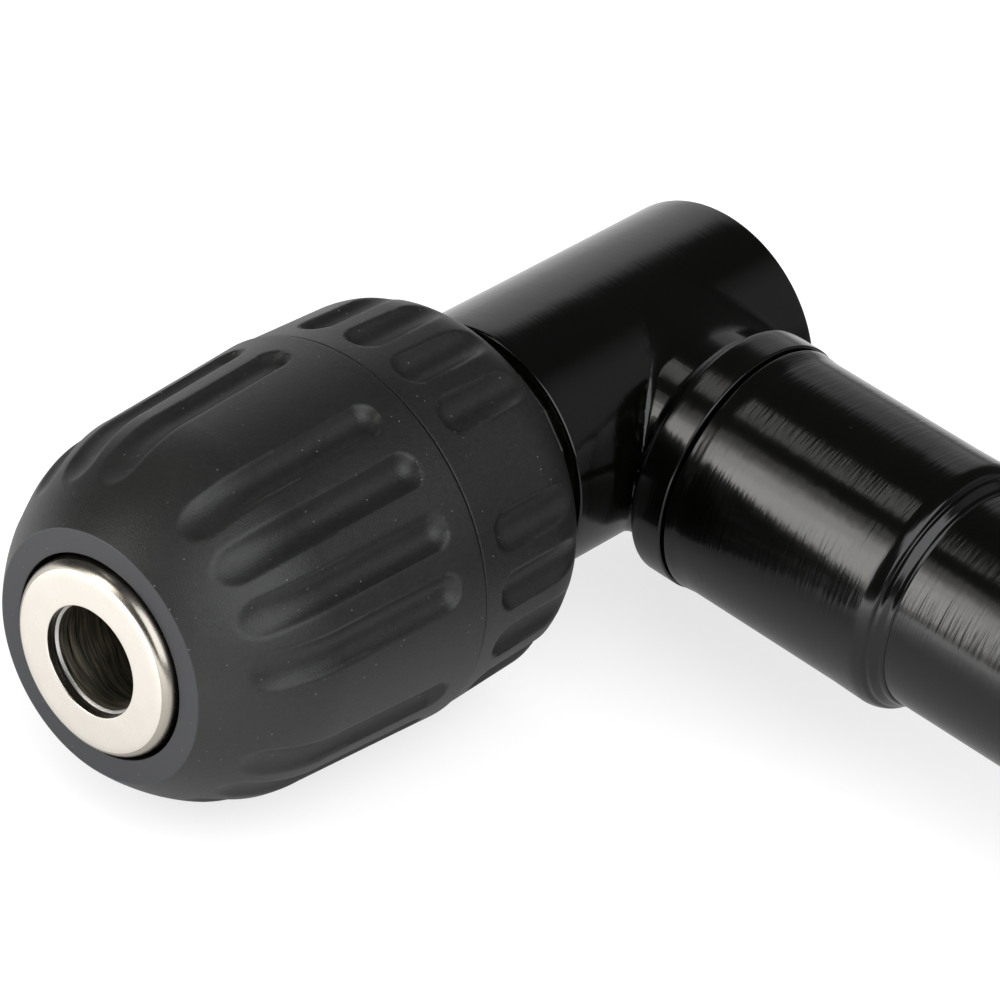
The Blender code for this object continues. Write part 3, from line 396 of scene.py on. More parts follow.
def make_front_sleeve(finish):
    """The bell: an outline that ends in an ellipse, turned round the spindle's axis and fluted."""
    bell = ellipse_run(
        BELL_SHOULDER, BELL_LENGTH_AXIS, BELL_RADIUS_AXIS, BELL_SHOULDER_RADIUS, BELL_FACE, 26
    )
    corners = [
        (SLEEVE_BORE, FRONT_SLEEVE_START),
        (SLEEVE_RADIUS, FRONT_SLEEVE_START, 0.18),
        *bell[:-1],
        (*bell[-1], 0.1),
        (MOUTH_RADIUS, BELL_FACE, 0.12),
        (MOUTH_RADIUS, MOUTH_START),
        (SLEEVE_BORE, SLEEVE_BORE_END),
    ]
    rows = outline(corners, 0.27)
    radius, height = rows.T
    inner = np.where(height > MOUTH_START, MOUTH_RADIUS, SLEEVE_BORE)
    outside = (radius > inner + 0.1) & (height > FLUTED_START) & (height < FLUTED_END)
    points = fluted(rows, full_turn(SLEEVE_COLUMNS), FRONT_FLUTE, outside)
    piece = add_piece("front_sleeve_shell", points)
    dress(piece, finish, "tightening_sleeve", "black_plastic", "front_sleeve")


def make_rear_sleeve(finish):
    """The rear sleeve: an outline with an elliptic shoulder, turned like the bell and fluted."""
    shoulder = ellipse_run(
        REAR_SHOULDER, REAR_LENGTH_AXIS, REAR_RADIUS_AXIS, REAR_SHOULDER_RADIUS, REAR_FACE, 14
    )
    corners = [
        (REAR_SLEEVE_BORE, REAR_SLEEVE_END),
        (REAR_SLEEVE_RADIUS, REAR_SLEEVE_END, 0.18),
        *shoulder[:-1],
        (*shoulder[-1], 0.15),
        (HUB_BORE, REAR_FACE),
        (HUB_BORE, REAR_FACE + REAR_WALL),
        (REAR_SLEEVE_BORE, REAR_FACE + REAR_WALL),
    ]
    rows = outline(corners, 0.27)
    outside = rows[:, 0] > REAR_SLEEVE_BORE + 0.6
    turns = full_turn(SLEEVE_COLUMNS)
    points = fluted(rows, turns, REAR_FLUTE, outside, REAR_SHOULDER_RADIUS)
    piece = add_piece("rear_sleeve_shell", points)
    dress(piece, finish, "spindle_and_chuck", "black_plastic", "rear_sleeve")


def make_nose_ring(finish):
    """The plated ring: an outline turned round the spindle's axis, with a lip over the body."""
    seat = BODY_NOSE_RADIUS + 0.2
    corners = [
        (seat, NOSE_FACE - NOSE_RING_LENGTH),
        (NOSE_RING_RADIUS, NOSE_FACE - NOSE_RING_LENGTH, 0.2),
        (NOSE_RING_RADIUS, NOSE_FACE, 1.35),
        (NOSE_BORE_RADIUS, NOSE_FACE, 0.16),
        (NOSE_BORE_RADIUS, NOSE_FACE - NOSE_RING_LIP, 0.06),
        (seat, NOSE_FACE - NOSE_RING_LIP),
    ]
    rows = outline(corners, 0.4)
    points = around_spindle(rows[:, :1], full_turn(RING_COLUMNS), rows[:, 1:])
    piece = add_piece("nose_ring_plated", points)
    dress(piece, finish, "spindle_and_chuck", "nickel_plate", "nose_ring")


def jaw_axes(turn):
    """A jaw's directions: forward along it, away from the chuck, across, and outward.

    The first three are square to each other. Outward is square to the chuck's axis.
    """
    outward = np.array([sin(turn), 0, cos(turn)])
    nose = np.array([0, -1, 0])
    forward = nose * cos(JAW_ANGLE) - outward * sin(JAW_ANGLE)
    away = outward * cos(JAW_ANGLE) + nose * sin(JAW_ANGLE)
    return forward, away, np.cross(forward, away), outward


def jaw_points(turn, radius, angle, length):
    """The point on a jaw's surface: apex + length forward + radius (cos away + sin across)."""
    forward, away, across, _ = jaw_axes(turn)
    radius, angle, length = np.broadcast_arrays(radius, angle, length)
    apex = np.array(CORNER) / MM + np.array([0, -JAW_APEX, 0])
    spot = length[..., None] * forward + (radius * np.cos(angle))[..., None] * away
    return (apex + spot + (radius * np.sin(angle))[..., None] * across) * MM


def jaw_tip(turn, radius, angle):
    """How far forward the two gripping faces let a jaw's material reach, at a radius and angle.

    It is the least of the tip's place and, for each face, (gap . normal) / (forward . normal),
    where the gap runs from the point beside the apex to the open jaws' inner edge.
    """
    forward, away, across, outward = jaw_axes(turn)
    start = radius[..., None] * (
        np.cos(angle)[..., None] * away + np.sin(angle)[..., None] * across
    )
    reach = np.full(radius.shape, JAW_TIP)
    for side in (-1, 1):
        lean = side * pi / 3
        sideways = np.array([sin(turn + lean), 0, cos(turn + lean)])
        normal = np.cross(np.array([0, -1, 0]), sideways) * side
        if normal @ outward > 0:
            normal = -normal
        gap = outward * JAW_OPEN_RADIUS - start
        reach = np.minimum(reach, (gap @ normal) / (forward @ normal))
    return reach


def make_jaw(number, turn, finish):
    """A round bar with a wedge tip and a toothed outer side.

    A tooth falls by its depth times the sawtooth 1 - frac(length / pitch), on the side that faces
    away from the chuck's axis.
    """
    angle = full_turn(JAW_COLUMNS)[None]
    radius = np.linspace(0, JAW_RADIUS, 9)[:, None]
    tip_radius, tip_angle = np.broadcast_arrays(radius, angle)
    tip = jaw_tip(turn, tip_radius, tip_angle)
    share = np.linspace(0, 1, 150)[1:, None]
    length = tip[-1:] + (JAW_BACK - tip[-1:]) * share
    toothed = smooth_step(0.25, 0.6, np.cos(angle)) * smooth_step(TEETH_START, TEETH_FULL, length)
    saw = 1 - np.mod(length / TOOTH_PITCH, 1)
    side = JAW_RADIUS - TOOTH_DEPTH * saw * toothed
    cap = JAW_RADIUS * np.linspace(1, 0, 5)[1:, None] * np.ones_like(angle)
    points = np.concatenate(
        [
            jaw_points(turn, tip_radius, tip_angle, tip),
            jaw_points(turn, side, angle, length),
            jaw_points(turn, cap, angle, np.full_like(cap, JAW_BACK)),
        ]
    )
    piece = add_piece(f"jaw_{number}_cut", points, closed=False)
    dress(piece, finish, f"jaw_{number}", "machined_steel", f"jaw_{number}")


def make_chuck_body(finish):
    """The steel body, turned, with the three jaw holes cut through it.

    The groove for the nut lies a little under the jaws' outer side at the nut's front, which is
    at (apex - front) tan(angle) + radius / cos(angle), so that their teeth stand bare there.
    """
    jaw_side = (JAW_APEX - NUT_FRONT) * tan(JAW_ANGLE) + JAW_RADIUS / cos(JAW_ANGLE)
    groove = jaw_side - TEETH_BARE
    corners = [
        (SPINDLE_BORE, HUB_START),
        (HUB_RADIUS, HUB_START, 0.2),
        (HUB_RADIUS, BODY_START),
        (BODY_RADIUS, BODY_START, 0.2),
        (BODY_RADIUS, NUT_GROOVE_START, 0.1),
        (groove, NUT_GROOVE_START),
        (groove, NUT_GROOVE_END),
        (BODY_FRONT_RADIUS, NUT_GROOVE_END, 0.2),
        (BODY_FRONT_RADIUS, BODY_CONE_START),
        (BODY_NOSE_RADIUS, BODY_CONE_END),
        (BODY_NOSE_RADIUS, BODY_NOSE_END, 0.2),
        (BIT_BORE_RADIUS + 0.25, BODY_NOSE_END),
        (BIT_BORE_RADIUS, BODY_NOSE_END - 0.2, 0.05),
        (BIT_BORE_RADIUS, BIT_BORE_BOTTOM),
        (SCREW_HOLE, BIT_BORE_BOTTOM),
        (SCREW_HOLE, SPINDLE_BORE_END),
        (SPINDLE_BORE, SPINDLE_BORE_END),
    ]
    rows = outline(corners, 0.9)
    points = around_spindle(rows[:, :1], full_turn(STEEL_COLUMNS), rows[:, 1:])
    body = add_piece("chuck_body_turned", points)
    radius = np.array([0, 1, 1, 0])[:, None] * JAW_HOLE_RADIUS
    length = np.array([JAW_HOLE_BACK, JAW_HOLE_BACK, 0, 0])[:, None]
    holes = []
    for i, turn in enumerate(JAW_TURNS):
        points = jaw_points(turn, radius, full_turn(JAW_HOLE_COLUMNS)[None], length)
        holes.append(add_piece(f"jaw_hole_{i}", points, False))
    combine(body, holes, "DIFFERENCE")
    dress(body, finish, "spindle_and_chuck", "machined_steel", "chuck_body")


def neck_radius(turn, height):
    """The neck with a fillet where it leaves the head.

    Both surfaces are distances: a from the head's cylinder, b from the neck's. The fillet of
    radius f is where f = sqrt((f - a)^2 + (f - b)^2), found by halving. It is small on the nose's
    side, where the two meet in a crease. Its head is a little too thin, so that the fillet dips
    under the real one.
    """
    nose_side = smooth_step(0.1, 0.6, -np.sin(turn))
    fillet = NECK_FILLET + (NECK_CREASE - NECK_FILLET) * nose_side + 0 * height
    low = np.full(fillet.shape, NECK_RADIUS)
    high = NECK_RADIUS + fillet
    for _ in range(30):
        middle = (low + high) / 2
        a = np.sqrt(height**2 + (middle * np.cos(turn)) ** 2) - (HEAD_RADIUS - FILLET_OVERLAP)
        b = middle - NECK_RADIUS
        depth = fillet - np.hypot(np.maximum(fillet - a, 0), np.maximum(fillet - b, 0))
        low = np.where(depth < 0, middle, low)
        high = np.where(depth < 0, high, middle)
    return low


def make_head(finish):
    """The cast head and its neck as one piece, hollow for the gears and bearings.

    The neck's flare grows from its radius to the collar's by a smooth step, and the larger of the
    flare and the fillet's radius counts.
    """
    corners = [
        (0, HEAD_BACK),
        (HEAD_RADIUS, HEAD_BACK, HEAD_ROUNDING),
        (HEAD_RADIUS, HEAD_FRONT, 0.3),
        (0, HEAD_FRONT),
    ]
    rows = outline(corners, 1.1, closed=False)
    points = around_spindle(rows[:, :1], full_turn(HOUSING_COLUMNS), rows[:, 1:])
    head = add_piece("head_casting", points, False)
    height = np.concatenate(
        [
            np.linspace(NECK_ROOT, NECK_FLARE_START - 0.2, 76),
            np.linspace(NECK_FLARE_START, COLLAR_START, 17),
            np.linspace(COLLAR_START + 0.5, COLLAR_END - 0.3, 5),
        ]
    )
    rise = smooth_step(NECK_FLARE_START, COLLAR_START, height)
    flare = NECK_RADIUS + (COLLAR_RADIUS - NECK_RADIUS) * rise
    turn = full_turn(NECK_COLUMNS)[None]
    side = np.maximum(neck_radius(turn, height[:, None]), flare[:, None])
    collar = [
        (COLLAR_RADIUS, COLLAR_END - 0.29),
        (COLLAR_RADIUS, COLLAR_END, 0.22),
        (SPIGOT_RADIUS, COLLAR_END),
    ]
    end = outline(collar, 0.6, False)
    end = np.concatenate([end, [(SPIGOT_RADIUS, SPIGOT_END), (0, SPIGOT_END)]])
    radius = np.concatenate([0 * side[:1], side, end[:, :1] + 0 * turn])
    height = np.concatenate([height[:1], height, end[:, 1]])[:, None]
    neck = add_piece("neck", around_barrel(radius, turn, height), False)
    combine(head, [neck], "UNION")
    bottom = HEAD_BACK + HEAD_BACK_WALL
    chamber_corners = [
        (0, bottom),
        (BUSH_SEAT_RADIUS, bottom),
        (BUSH_SEAT_RADIUS, bottom + BUSH_SEAT_DEPTH),
        (GEAR_CHAMBER_RADIUS, bottom + BUSH_SEAT_DEPTH),
        (GEAR_CHAMBER_RADIUS, BEARING_SEAT_START),
        (BEARING_SEAT_RADIUS, BEARING_SEAT_START),
        (BEARING_SEAT_RADIUS, HEAD_FRONT + 1.2),
        (0, HEAD_FRONT + 1.2),
    ]
    bore_corners = [
        (0, 0),
        (NECK_BORE_RADIUS, 0),
        (NECK_BORE_RADIUS, NECK_SEAT_START),
        (NECK_SEAT_RADIUS, NECK_SEAT_START),
        (NECK_SEAT_RADIUS, SPIGOT_END + 1),
        (0, SPIGOT_END + 1),
    ]
    chamber = outline(chamber_corners, 4, False)
    bore = outline(bore_corners, 4, False)
    turn = full_turn(CHAMBER_COLUMNS)[None]
    cuts = [
        add_piece("chamber", around_spindle(chamber[:, :1], turn, chamber[:, 1:]), False),
        add_piece("neck_bore", around_barrel(bore[:, :1], turn, bore[:, 1:]), False),
    ]
    combine(head, cuts, "DIFFERENCE")
    dress(head, finish, "housing", "gloss_black_coat", "head_housing")


def make_barrel(finish):
    """The barrel and, at its end, the stepped lip that closes on the tube."""
    corners = [
        (BARREL_BORE, BARREL_START),
        (BARREL_RADIUS + 0.1, BARREL_START, 0.25),
        (BARREL_RADIUS - 0.08, BARREL_START + 1.6),
        (BARREL_RADIUS - 0.05, BARREL_END - 4.5),
        (BARREL_RADIUS + 0.05, BARREL_END - 0.4, 0.5),
        (BARREL_RADIUS - 0.3, BARREL_END + 0.5, 0.2),
        (LIP_RADIUS, BARREL_END + 0.7, 0.1),
        (LIP_RADIUS - 0.06, BARREL_END + 1.05, 0.15),
        (BARREL_BORE, BARREL_END + 1.6, 0.15),
        (BARREL_BORE - 0.08, BARREL_END + 1.95, 0.1),
        (TUBE_RADIUS + 0.04, BARREL_END + 2.1),
        (BARREL_BORE, BARREL_END - 0.6),
    ]
    rows = outline(corners, 0.45)
    points = around_barrel(rows[:, :1], full_turn(HOUSING_COLUMNS), rows[:, 1:])
    piece = add_piece("barrel_coated", points)
    dress(piece, finish, "housing", "gloss_black_coat", "barrel")


def make_tube(finish):
    """The long tube: an outline turned round the barrel's axis."""
    corners = [
        (TUBE_BORE, TUBE_START),
        (TUBE_RADIUS, TUBE_START),
        (TUBE_RADIUS, TUBE_END, 0.15),
        (TUBE_BORE, TUBE_END),
    ]
    rows = outline(corners, 1.6)
    points = around_barrel(rows[:, :1], full_turn(TUBE_COLUMNS), rows[:, 1:])
    piece = add_piece("tube_coated", points)
    dress(piece, finish, "housing", "gloss_black_coat", "tube")


def make_end_cap(finish):
    """The cap's plug inside the tube, its rim, and the seats of its bearing and its seal."""
    corners = [
        (CAP_BORE, CAP_START),
        (CAP_PLUG_RADIUS, CAP_START, 0.2),
        (CAP_PLUG_RADIUS, CAP_JOINT),
        (TUBE_RADIUS, CAP_JOINT, 0.15),
        (TUBE_RADIUS, CAP_END, 0.8),
        (SEAL_SEAT_RADIUS, CAP_END, 0.2),
        (SEAL_SEAT_RADIUS, SEAL_SEAT_START),
        (SHAFT_HOLE_RADIUS, SEAL_SEAT_START),
        (SHAFT_HOLE_RADIUS, CAP_BORE_END),
        (CAP_BORE, CAP_BORE_END),
    ]
    rows = outline(corners, 0.8)
    points = around_barrel(rows[:, :1], full_turn(RING_COLUMNS), rows[:, 1:])
    piece = add_piece("end_cap_coated", points)
    dress(piece, finish, "housing", "gloss_black_coat", "end_cap")


def make_shaft(finish):
    """The shaft, with a hex end: r = half the flats / cos(turn within 30 degrees of a flat's middle).

    The hex is cut off by a cone at its end, and its corners are rounded by the largest radius.
    """
    corners = [
        (0, PINION_SEAT_START),
        (PINION_SEAT_RADIUS, PINION_SEAT_START, 0.2),
        (PINION_SEAT_RADIUS, PINION_SEAT_END),
        (SHAFT_RADIUS, PINION_SEAT_END),
        (SHAFT_RADIUS, SHOULDER_START),
        (SHOULDER_RADIUS, SHOULDER_START, 0.2),
        (SHOULDER_RADIUS, SHOULDER_END, 0.2),
        (SHAFT_RADIUS, SHOULDER_END),
        (SHAFT_RADIUS, CAP_BORE_END),
        (SHOULDER_RADIUS, CAP_BORE_END, 0.2),
        (SHOULDER_RADIUS, SHANK_START, 0.35),
        (SHANK_BLANK_RADIUS, SHANK_START),
        (SHANK_BLANK_RADIUS, SHANK_END - 0.9),
        (SHANK_BLANK_RADIUS - 0.88, SHANK_END, 0.12),
        (0, SHANK_END),
    ]
    rows = outline(corners, 1.5, closed=False)
    turn = full_turn(STEEL_COLUMNS)[None]
    within = np.mod(turn + pi / 6, pi / 3) - pi / 6
    hexagon = SHANK_ACROSS_FLATS / 2 / np.cos(within)
    rounded = np.minimum(hexagon, SHANK_CORNER - 0.06)
    radius = rows[:, :1] + 0 * turn
    on_hex = (rows[:, 1:] >= SHANK_START - 1e-6) & (rows[:, :1] <= SHANK_BLANK_RADIUS)
    radius = np.where(on_hex, np.minimum(radius, rounded), radius)
    piece = add_piece("input_shaft_ground", around_barrel(radius, turn, rows[:, 1:]), False, 25)
    dress(piece, finish, "input_drive", "machined_steel", "input_shaft")


class Number:
    """A shader socket that holds a number. Python's operators add Math nodes."""

    def __init__(self, nodes, socket):
        self.nodes = nodes
        self.socket = socket

    def math(self, operation, first, second=0.0):
        settings = {"operation": operation}
        return self.nodes.node("ShaderNodeMath", settings, {0: first, 1: second})

    def __add__(self, other):
        return self.math("ADD", self, other)

    def __sub__(self, other):
        return self.math("SUBTRACT", self, other)

    def __rsub__(self, other):
        return self.math("SUBTRACT", other, self)

    def __mul__(self, other):
        return self.math("MULTIPLY", self, other)

    __radd__ = __add__
    __rmul__ = __mul__

    def __gt__(self, other):
        return self.math("GREATER_THAN", self, other)

    def __lt__(self, other):
        return self.math("LESS_THAN", self, other)


class Nodes:
    """A node tree with one method that adds any node."""

    def __init__(self, tree):
        self.tree = tree

    def node(self, kind, settings, inputs, output=0):
        made = self.tree.nodes.new(kind)
        for key, value in settings.items():
            if key == "stops":
                while len(made.color_ramp.elements) < len(value):
                    made.color_ramp.elements.new(1.0)
                for stop, (place, shade) in zip(made.color_ramp.elements, value):
                    stop.position = place
                    stop.color = (shade, shade, shade, 1)
            else:
                setattr(made, key, value)
        for key, value in inputs.items():
            self.feed(made.inputs[key], value)
        return Number(self, made.outputs[output])

    def feed(self, socket, value):
        if isinstance(value, Number):
            self.tree.links.new(value.socket, socket)
        else:
            socket.default_value = value

    def ramp(self, value, *stops):
        return self.node("ShaderNodeValToRGB", {"stops": stops}, {0: value})


class Finish(Nodes):
    """A material under construction. Its patterns read Object coordinates, in metres."""

    def __init__(self, name, **constants):
        self.material = bpy.data.materials.new(name)
        self.material.use_nodes = True
        super().__init__(self.material.node_tree)
        self.shader = self.tree.nodes["Principled BSDF"]
        for socket, value in constants.items():
            self.shader.inputs[socket.replace("_", " ")].default_value = value

    def place(self, stretch=(1, 1, 1)):
        """Object coordinates in metres, stretched along each axis."""
        spot = self.node("ShaderNodeTexCoord", {}, {}, "Object")
        return self.node("ShaderNodeMapping", {}, {"Vector": spot, "Scale": stretch})

    def along(self, axis):
        return self.node("ShaderNodeSeparateXYZ", {}, {0: self.place()}, axis)

    def noise(self, scale, stretch=(1, 1, 1), detail=2.0):
        """A pattern with scale times stretch cells to the metre."""
        inputs = {"Vector": self.place(stretch), "Scale": scale, "Detail": detail}
        return self.node("ShaderNodeTexNoise", {}, inputs)

    def specks(self, scale, size, share):
        """Dust: round specks in a share of the cells of a Voronoi pattern."""
        inputs = {"Vector": self.place(), "Scale": scale}
        near = self.node("ShaderNodeTexVoronoi", {}, inputs, "Distance") < size
        chance = self.node("ShaderNodeTexVoronoi", {}, inputs, "Color")
        pick = self.node("ShaderNodeSeparateColor", {}, {0: chance}) < share
        return near * pick

    def blend(self, factor, first, second):
        """A mix of two colours, each a triple or the socket of another mix."""
        sides = [side if isinstance(side, Number) else (*side, 1) for side in (first, second)]
        inputs = {0: factor, 6: sides[0], 7: sides[1]}
        return self.node("ShaderNodeMix", {"data_type": "RGBA"}, inputs, 2)

    def colour(self, value):
        self.feed(self.shader.inputs["Base Color"], value)

    def roughness(self, value):
        self.feed(self.shader.inputs["Roughness"], value)

    def relief(self, height, distance, strength=1.0):
        inputs = {"Height": height, "Distance": distance, "Strength": strength}
        bump = self.node("ShaderNodeBump", {}, inputs)
        self.feed(self.shader.inputs["Normal"], bump)


def moulded_plastic():
    """Satin black moulding: fine grain, mottled gloss, a little dust, and a smoother front face whose
    colour is painted lighter and cooler as painted light.
    """
    finish = Finish("moulded_black_plastic", IOR=1.48)
    # face marks the front face: really smoother, and painted lighter in colour to stand in for the
    # light it catches
    face = finish.along("Y") < -(BELL_FACE - 0.05) * MM
    grain = finish.noise(6200, detail=3.0)
    mottle = finish.noise(2100, detail=2.0)
    cloud = finish.noise(160)
    dust = finish.specks(1500, 0.1, 0.16) + finish.specks(600, 0.035, 0.3)
    shade = 0.3 * cloud + 0.7 * mottle
    body = finish.blend(shade, (0.0045, 0.0047, 0.0041), (0.0175, 0.018, 0.0168))
    # painted light: the front face's colour is lifted and cooled in place of the light falling on it
    body = finish.blend(face, body, (0.028, 0.029, 0.033))
    finish.colour(finish.blend(dust, body, (0.13, 0.13, 0.118)))
    finish.roughness(0.31 + 0.1 * cloud + 0.12 * grain - 0.06 * face)
    finish.relief(grain * (1 - 0.8 * face), 0.00005, 0.7)
    return finish.material


def gloss_coat(name, marking, stretch, neck_stretch=None):
    """Thick gloss black coat: cloudy gloss, faint turning marks beneath it and a few specks."""
    finish = Finish(name, IOR=1.5)
    cloud = finish.noise(120, detail=3.0)
    marks = finish.noise(1, stretch, detail=3.0)
    if neck_stretch:
        on_neck = finish.along("X") > CORNER.x + HEAD_RADIUS * MM
        other = finish.noise(1, neck_stretch, detail=3.0)
        marks = marks * (1 - on_neck) + other * on_neck
    peel = finish.noise(420)
    specks = finish.specks(260, 0.035, 0.25)
    finish.colour(finish.blend(cloud, (0.0008, 0.0008, 0.0006), (0.0018, 0.0018, 0.0014)))
    finish.roughness(0.1 + 0.1 * cloud + 0.2 * specks)
    finish.relief(marking * marks + 0.9 * peel + 1.5 * specks, 0.000035, 0.6)
    return finish.material


def nickel_plate():
    """Satin plate, with painted shade on the ring's rounding: its colour is darker there than on its
    face.
    """
    finish = Finish("satin_nickel", Metallic=1.0)
    cloud = finish.noise(500, detail=4.0)
    # rounding marks where the plate's colour is darkened as painted shade, a dimmer reflection on the
    # ring's rounding
    rounding = finish.along("Y") > -(NOSE_FACE - 0.12) * MM
    plate = finish.blend(cloud, (0.74, 0.69, 0.62), (0.80, 0.755, 0.69))
    # painted shade: the rounding takes the darker colour
    finish.colour(finish.blend(rounding, plate, (0.4, 0.37, 0.32)))
    pits = finish.noise(5200, detail=3.0)
    finish.roughness(0.2 + 0.14 * cloud)
    finish.relief(pits, 0.00001, 0.5)
    return finish.material


def bored_steel():
    """Machined steel with the marks of a tool that went round the spindle's axis."""
    finish = Finish("bored_steel", Metallic=1.0)
    marks = finish.ramp(finish.noise(1, (260, 5200, 260), detail=4.0), (0.32, 0.0), (0.72, 1.0))
    lip = finish.along("Y") < -(BODY_NOSE_END - 0.22) * MM
    inner = finish.blend(marks, (0.1, 0.092, 0.07), (0.7, 0.65, 0.53))
    finish.colour(finish.blend(lip, inner, (0.5, 0.485, 0.46)))
    finish.roughness(0.36 + 0.2 * marks)
    finish.relief(marks, 0.00003, 0.6)
    return finish.material


def ground_steel(name, colour, stretch):
    """Steel with fine marks across the shank's axis."""
    finish = Finish(name, Metallic=1.0)
    marks = finish.noise(1, stretch, detail=3.0)
    dark = tuple(0.75 * part for part in colour)
    finish.colour(finish.blend(marks, dark, colour))
    finish.roughness(0.22 + 0.2 * marks)
    finish.relief(marks, 0.00002, 0.5)
    return finish.material


def sintered_bronze():
    """Porous bearing bronze."""
    finish = Finish("oiled_bronze", Metallic=1.0)
    pores = finish.noise(4000, detail=4.0)
    finish.colour(finish.blend(pores, (0.34, 0.2, 0.09), (0.62, 0.42, 0.2)))
    finish.roughness(0.35 + 0.25 * pores)
    finish.relief(pores, 0.00004, 0.5)
    return finish.material


def seal_rubber():
    """Dull black rubber with a fine grain."""
    finish = Finish("matte_rubber", IOR=1.45)
    grain = finish.noise(3000, detail=3.0)
    finish.colour(finish.blend(grain, (0.012, 0.012, 0.012), (0.024, 0.024, 0.023)))
    finish.roughness(0.62 + 0.2 * grain)
    finish.relief(grain, 0.00003, 0.5)
    return finish.material


def finish_inner_nodes(steel, bronze, rubber):
    """The CAD nodes that stay take the finish of their slot."""
    by_slot = {"machined_steel": steel, "sintered_bronze": bronze, "seal_rubber": rubber}
    for part in frame["record"]["subparts"]:
        node = frame["nodes"][part["node"]]
        if part["material_slot"] in by_slot:
            node.data.materials.clear()
            node.data.materials.append(by_slot[part["material_slot"]])


def direction(azimuth, elevation):
    """Azimuth 0 is the nose's side, -Y, and 90 is the shank's, +X."""
    a, e = radians(azimuth), radians(elevation)
    return Vector((sin(a) * cos(e), -cos(a) * cos(e), sin(e)))


def softbox(name, azimuth, elevation, size, radiance, distance=0.9, tint=WARM):
    """A rectangular lamp. Its power is pi times its radiance times its area.

    Lamps in one direction stand at different distances, because lamps in one plane hide each other.
    """
    lamp = bpy.data.lights.new(name, "AREA")
    lamp.shape = "RECTANGLE"
    lamp.size, lamp.size_y = size
    lamp.energy = pi * radiance * size[0] * size[1]
    lamp.color = tint
    holder = bpy.data.objects.new(name, lamp)
    bpy.context.scene.collection.objects.link(holder)
    way = direction(azimuth, elevation)
    holder.location = LAMPS_AIM + way * distance
    holder.rotation_euler = way.to_track_quat("Z", "Y").to_euler()


def make_world():
    """White to the camera, an even light on dull surfaces, and a studio in what is glossy.

    The studio is dark overhead, with a white wall behind on the left and a dim one on the right.
    The left wall's far edge leans: it reaches further round close to the floor. The ramps read the
    azimuth as a share of a turn, with 0.5 at -Y, and the height as the sine of the elevation.
    """
    world = bpy.data.worlds.new("studio")
    bpy.context.scene.world = world
    world.use_nodes = True
    room = Nodes(world.node_tree)
    room.tree.nodes.clear()
    way = room.node("ShaderNodeTexCoord", {}, {}, "Generated")
    east, north, height = (
        room.node("ShaderNodeSeparateXYZ", {}, {0: way}, axis) for axis in ("X", "Y", "Z")
    )
    azimuth = east.math("ARCTAN2", east, north * -1)
    turn = (azimuth - 0.21 * height) * (1 / (2 * pi)) + 0.5
    left = room.ramp(turn, (0.039, 0.0), (0.1, 1.0), (0.165, 1.0), (0.215, 0.0))
    low = room.ramp(height, (0.52, 1.0), (0.62, 0.0))
    right = room.node(
        "ShaderNodeVectorMath",
        {"operation": "DOT_PRODUCT"},
        {0: way, 1: tuple(direction(142, 26))},
        1,
    )
    studio = 0.07 + 0.98 * (left * low) + 0.3 * room.ramp(right, (0.86, 0.0), (0.97, 1.0))
    glossy = room.node("ShaderNodeLightPath", {}, {}, "Is Glossy Ray")
    seen = room.node("ShaderNodeLightPath", {}, {}, "Is Camera Ray")
    strength = 0.72 * (1 - glossy) + studio * glossy
    strength = strength * (1 - seen) + seen
    background = room.node("ShaderNodeBackground", {}, {"Strength": strength})
    end = room.tree.nodes.new("ShaderNodeOutputWorld")
    room.tree.links.new(background.socket, end.inputs["Surface"])


def make_floor():
    """A pale floor that the camera and what is glossy see as white, darker close to the object: a real
    shadow in its diffuse share and a painted shadow in its white glow.

    What is glossy sees it with a painted glow towards the key lamp and painted shade far behind on the
    right.
    """
    finish = Finish("pale_floor", Roughness=0.9)
    finish.shader.inputs["Base Color"].default_value = (0.86, 0.86, 0.86, 1)
    finish.shader.inputs["Specular IOR Level"].default_value = 0.0
    seen = finish.node("ShaderNodeLightPath", {}, {}, "Is Camera Ray")
    glossy = finish.node("ShaderNodeLightPath", {}, {}, "Is Glossy Ray")
    # painted contact shadow: ambient occlusion cuts down the floor's white glow close to the object
    painted_shadow_occlusion = finish.node("ShaderNodeAmbientOcclusion", {"samples": 6}, {"Distance": 0.05}, "AO")
    # painted light: the floor's glow in reflections grows towards the key lamp
    painted_key_glow = finish.ramp(finish.along("Y") * -1, (0.05, 0.0), (0.3, 1.0))
    behind = finish.along("X") + finish.along("Y") - CORNER.x
    # painted shade: the floor's glow in reflections fades far behind on the right
    fade = finish.ramp(behind, (0.06, 1.0), (0.2, 0.25))
    painted_floor_reflection = (0.95 + 2.1 * painted_key_glow) * (0.2 + 0.8 * painted_shadow_occlusion) * fade
    # the camera's white carries the painted contact shadow on top of the real shadow in the diffuse
    # share
    strength = 1.5 * seen * (0.72 + 0.28 * painted_shadow_occlusion) + glossy * painted_floor_reflection
    white = finish.node("ShaderNodeEmission", {}, {"Color": (1, 1, 1, 1), "Strength": strength})
    mixed = finish.node("ShaderNodeMixShader", {}, {0: 0.6 * seen + glossy})
    finish.tree.links.new(finish.shader.outputs[0], mixed.socket.node.inputs[1])
    finish.tree.links.new(white.socket, mixed.socket.node.inputs[2])
    end = finish.tree.nodes["Material Output"]
    finish.tree.links.new(mixed.socket, end.inputs["Surface"])
    mesh = bpy.data.meshes.new("floor")
    corners = [
        (x * FLOOR_REACH, y * FLOOR_REACH, FLOOR_LEVEL) for x, y in ((-1, -1), (1, -1), (1, 1), (-1, 1))
    ]
    mesh.from_pydata(corners, [], [(0, 1, 2, 3)])
    mesh.materials.append(finish.material)
    floor = bpy.data.objects.new("floor", mesh)
    bpy.context.scene.collection.objects.link(floor)


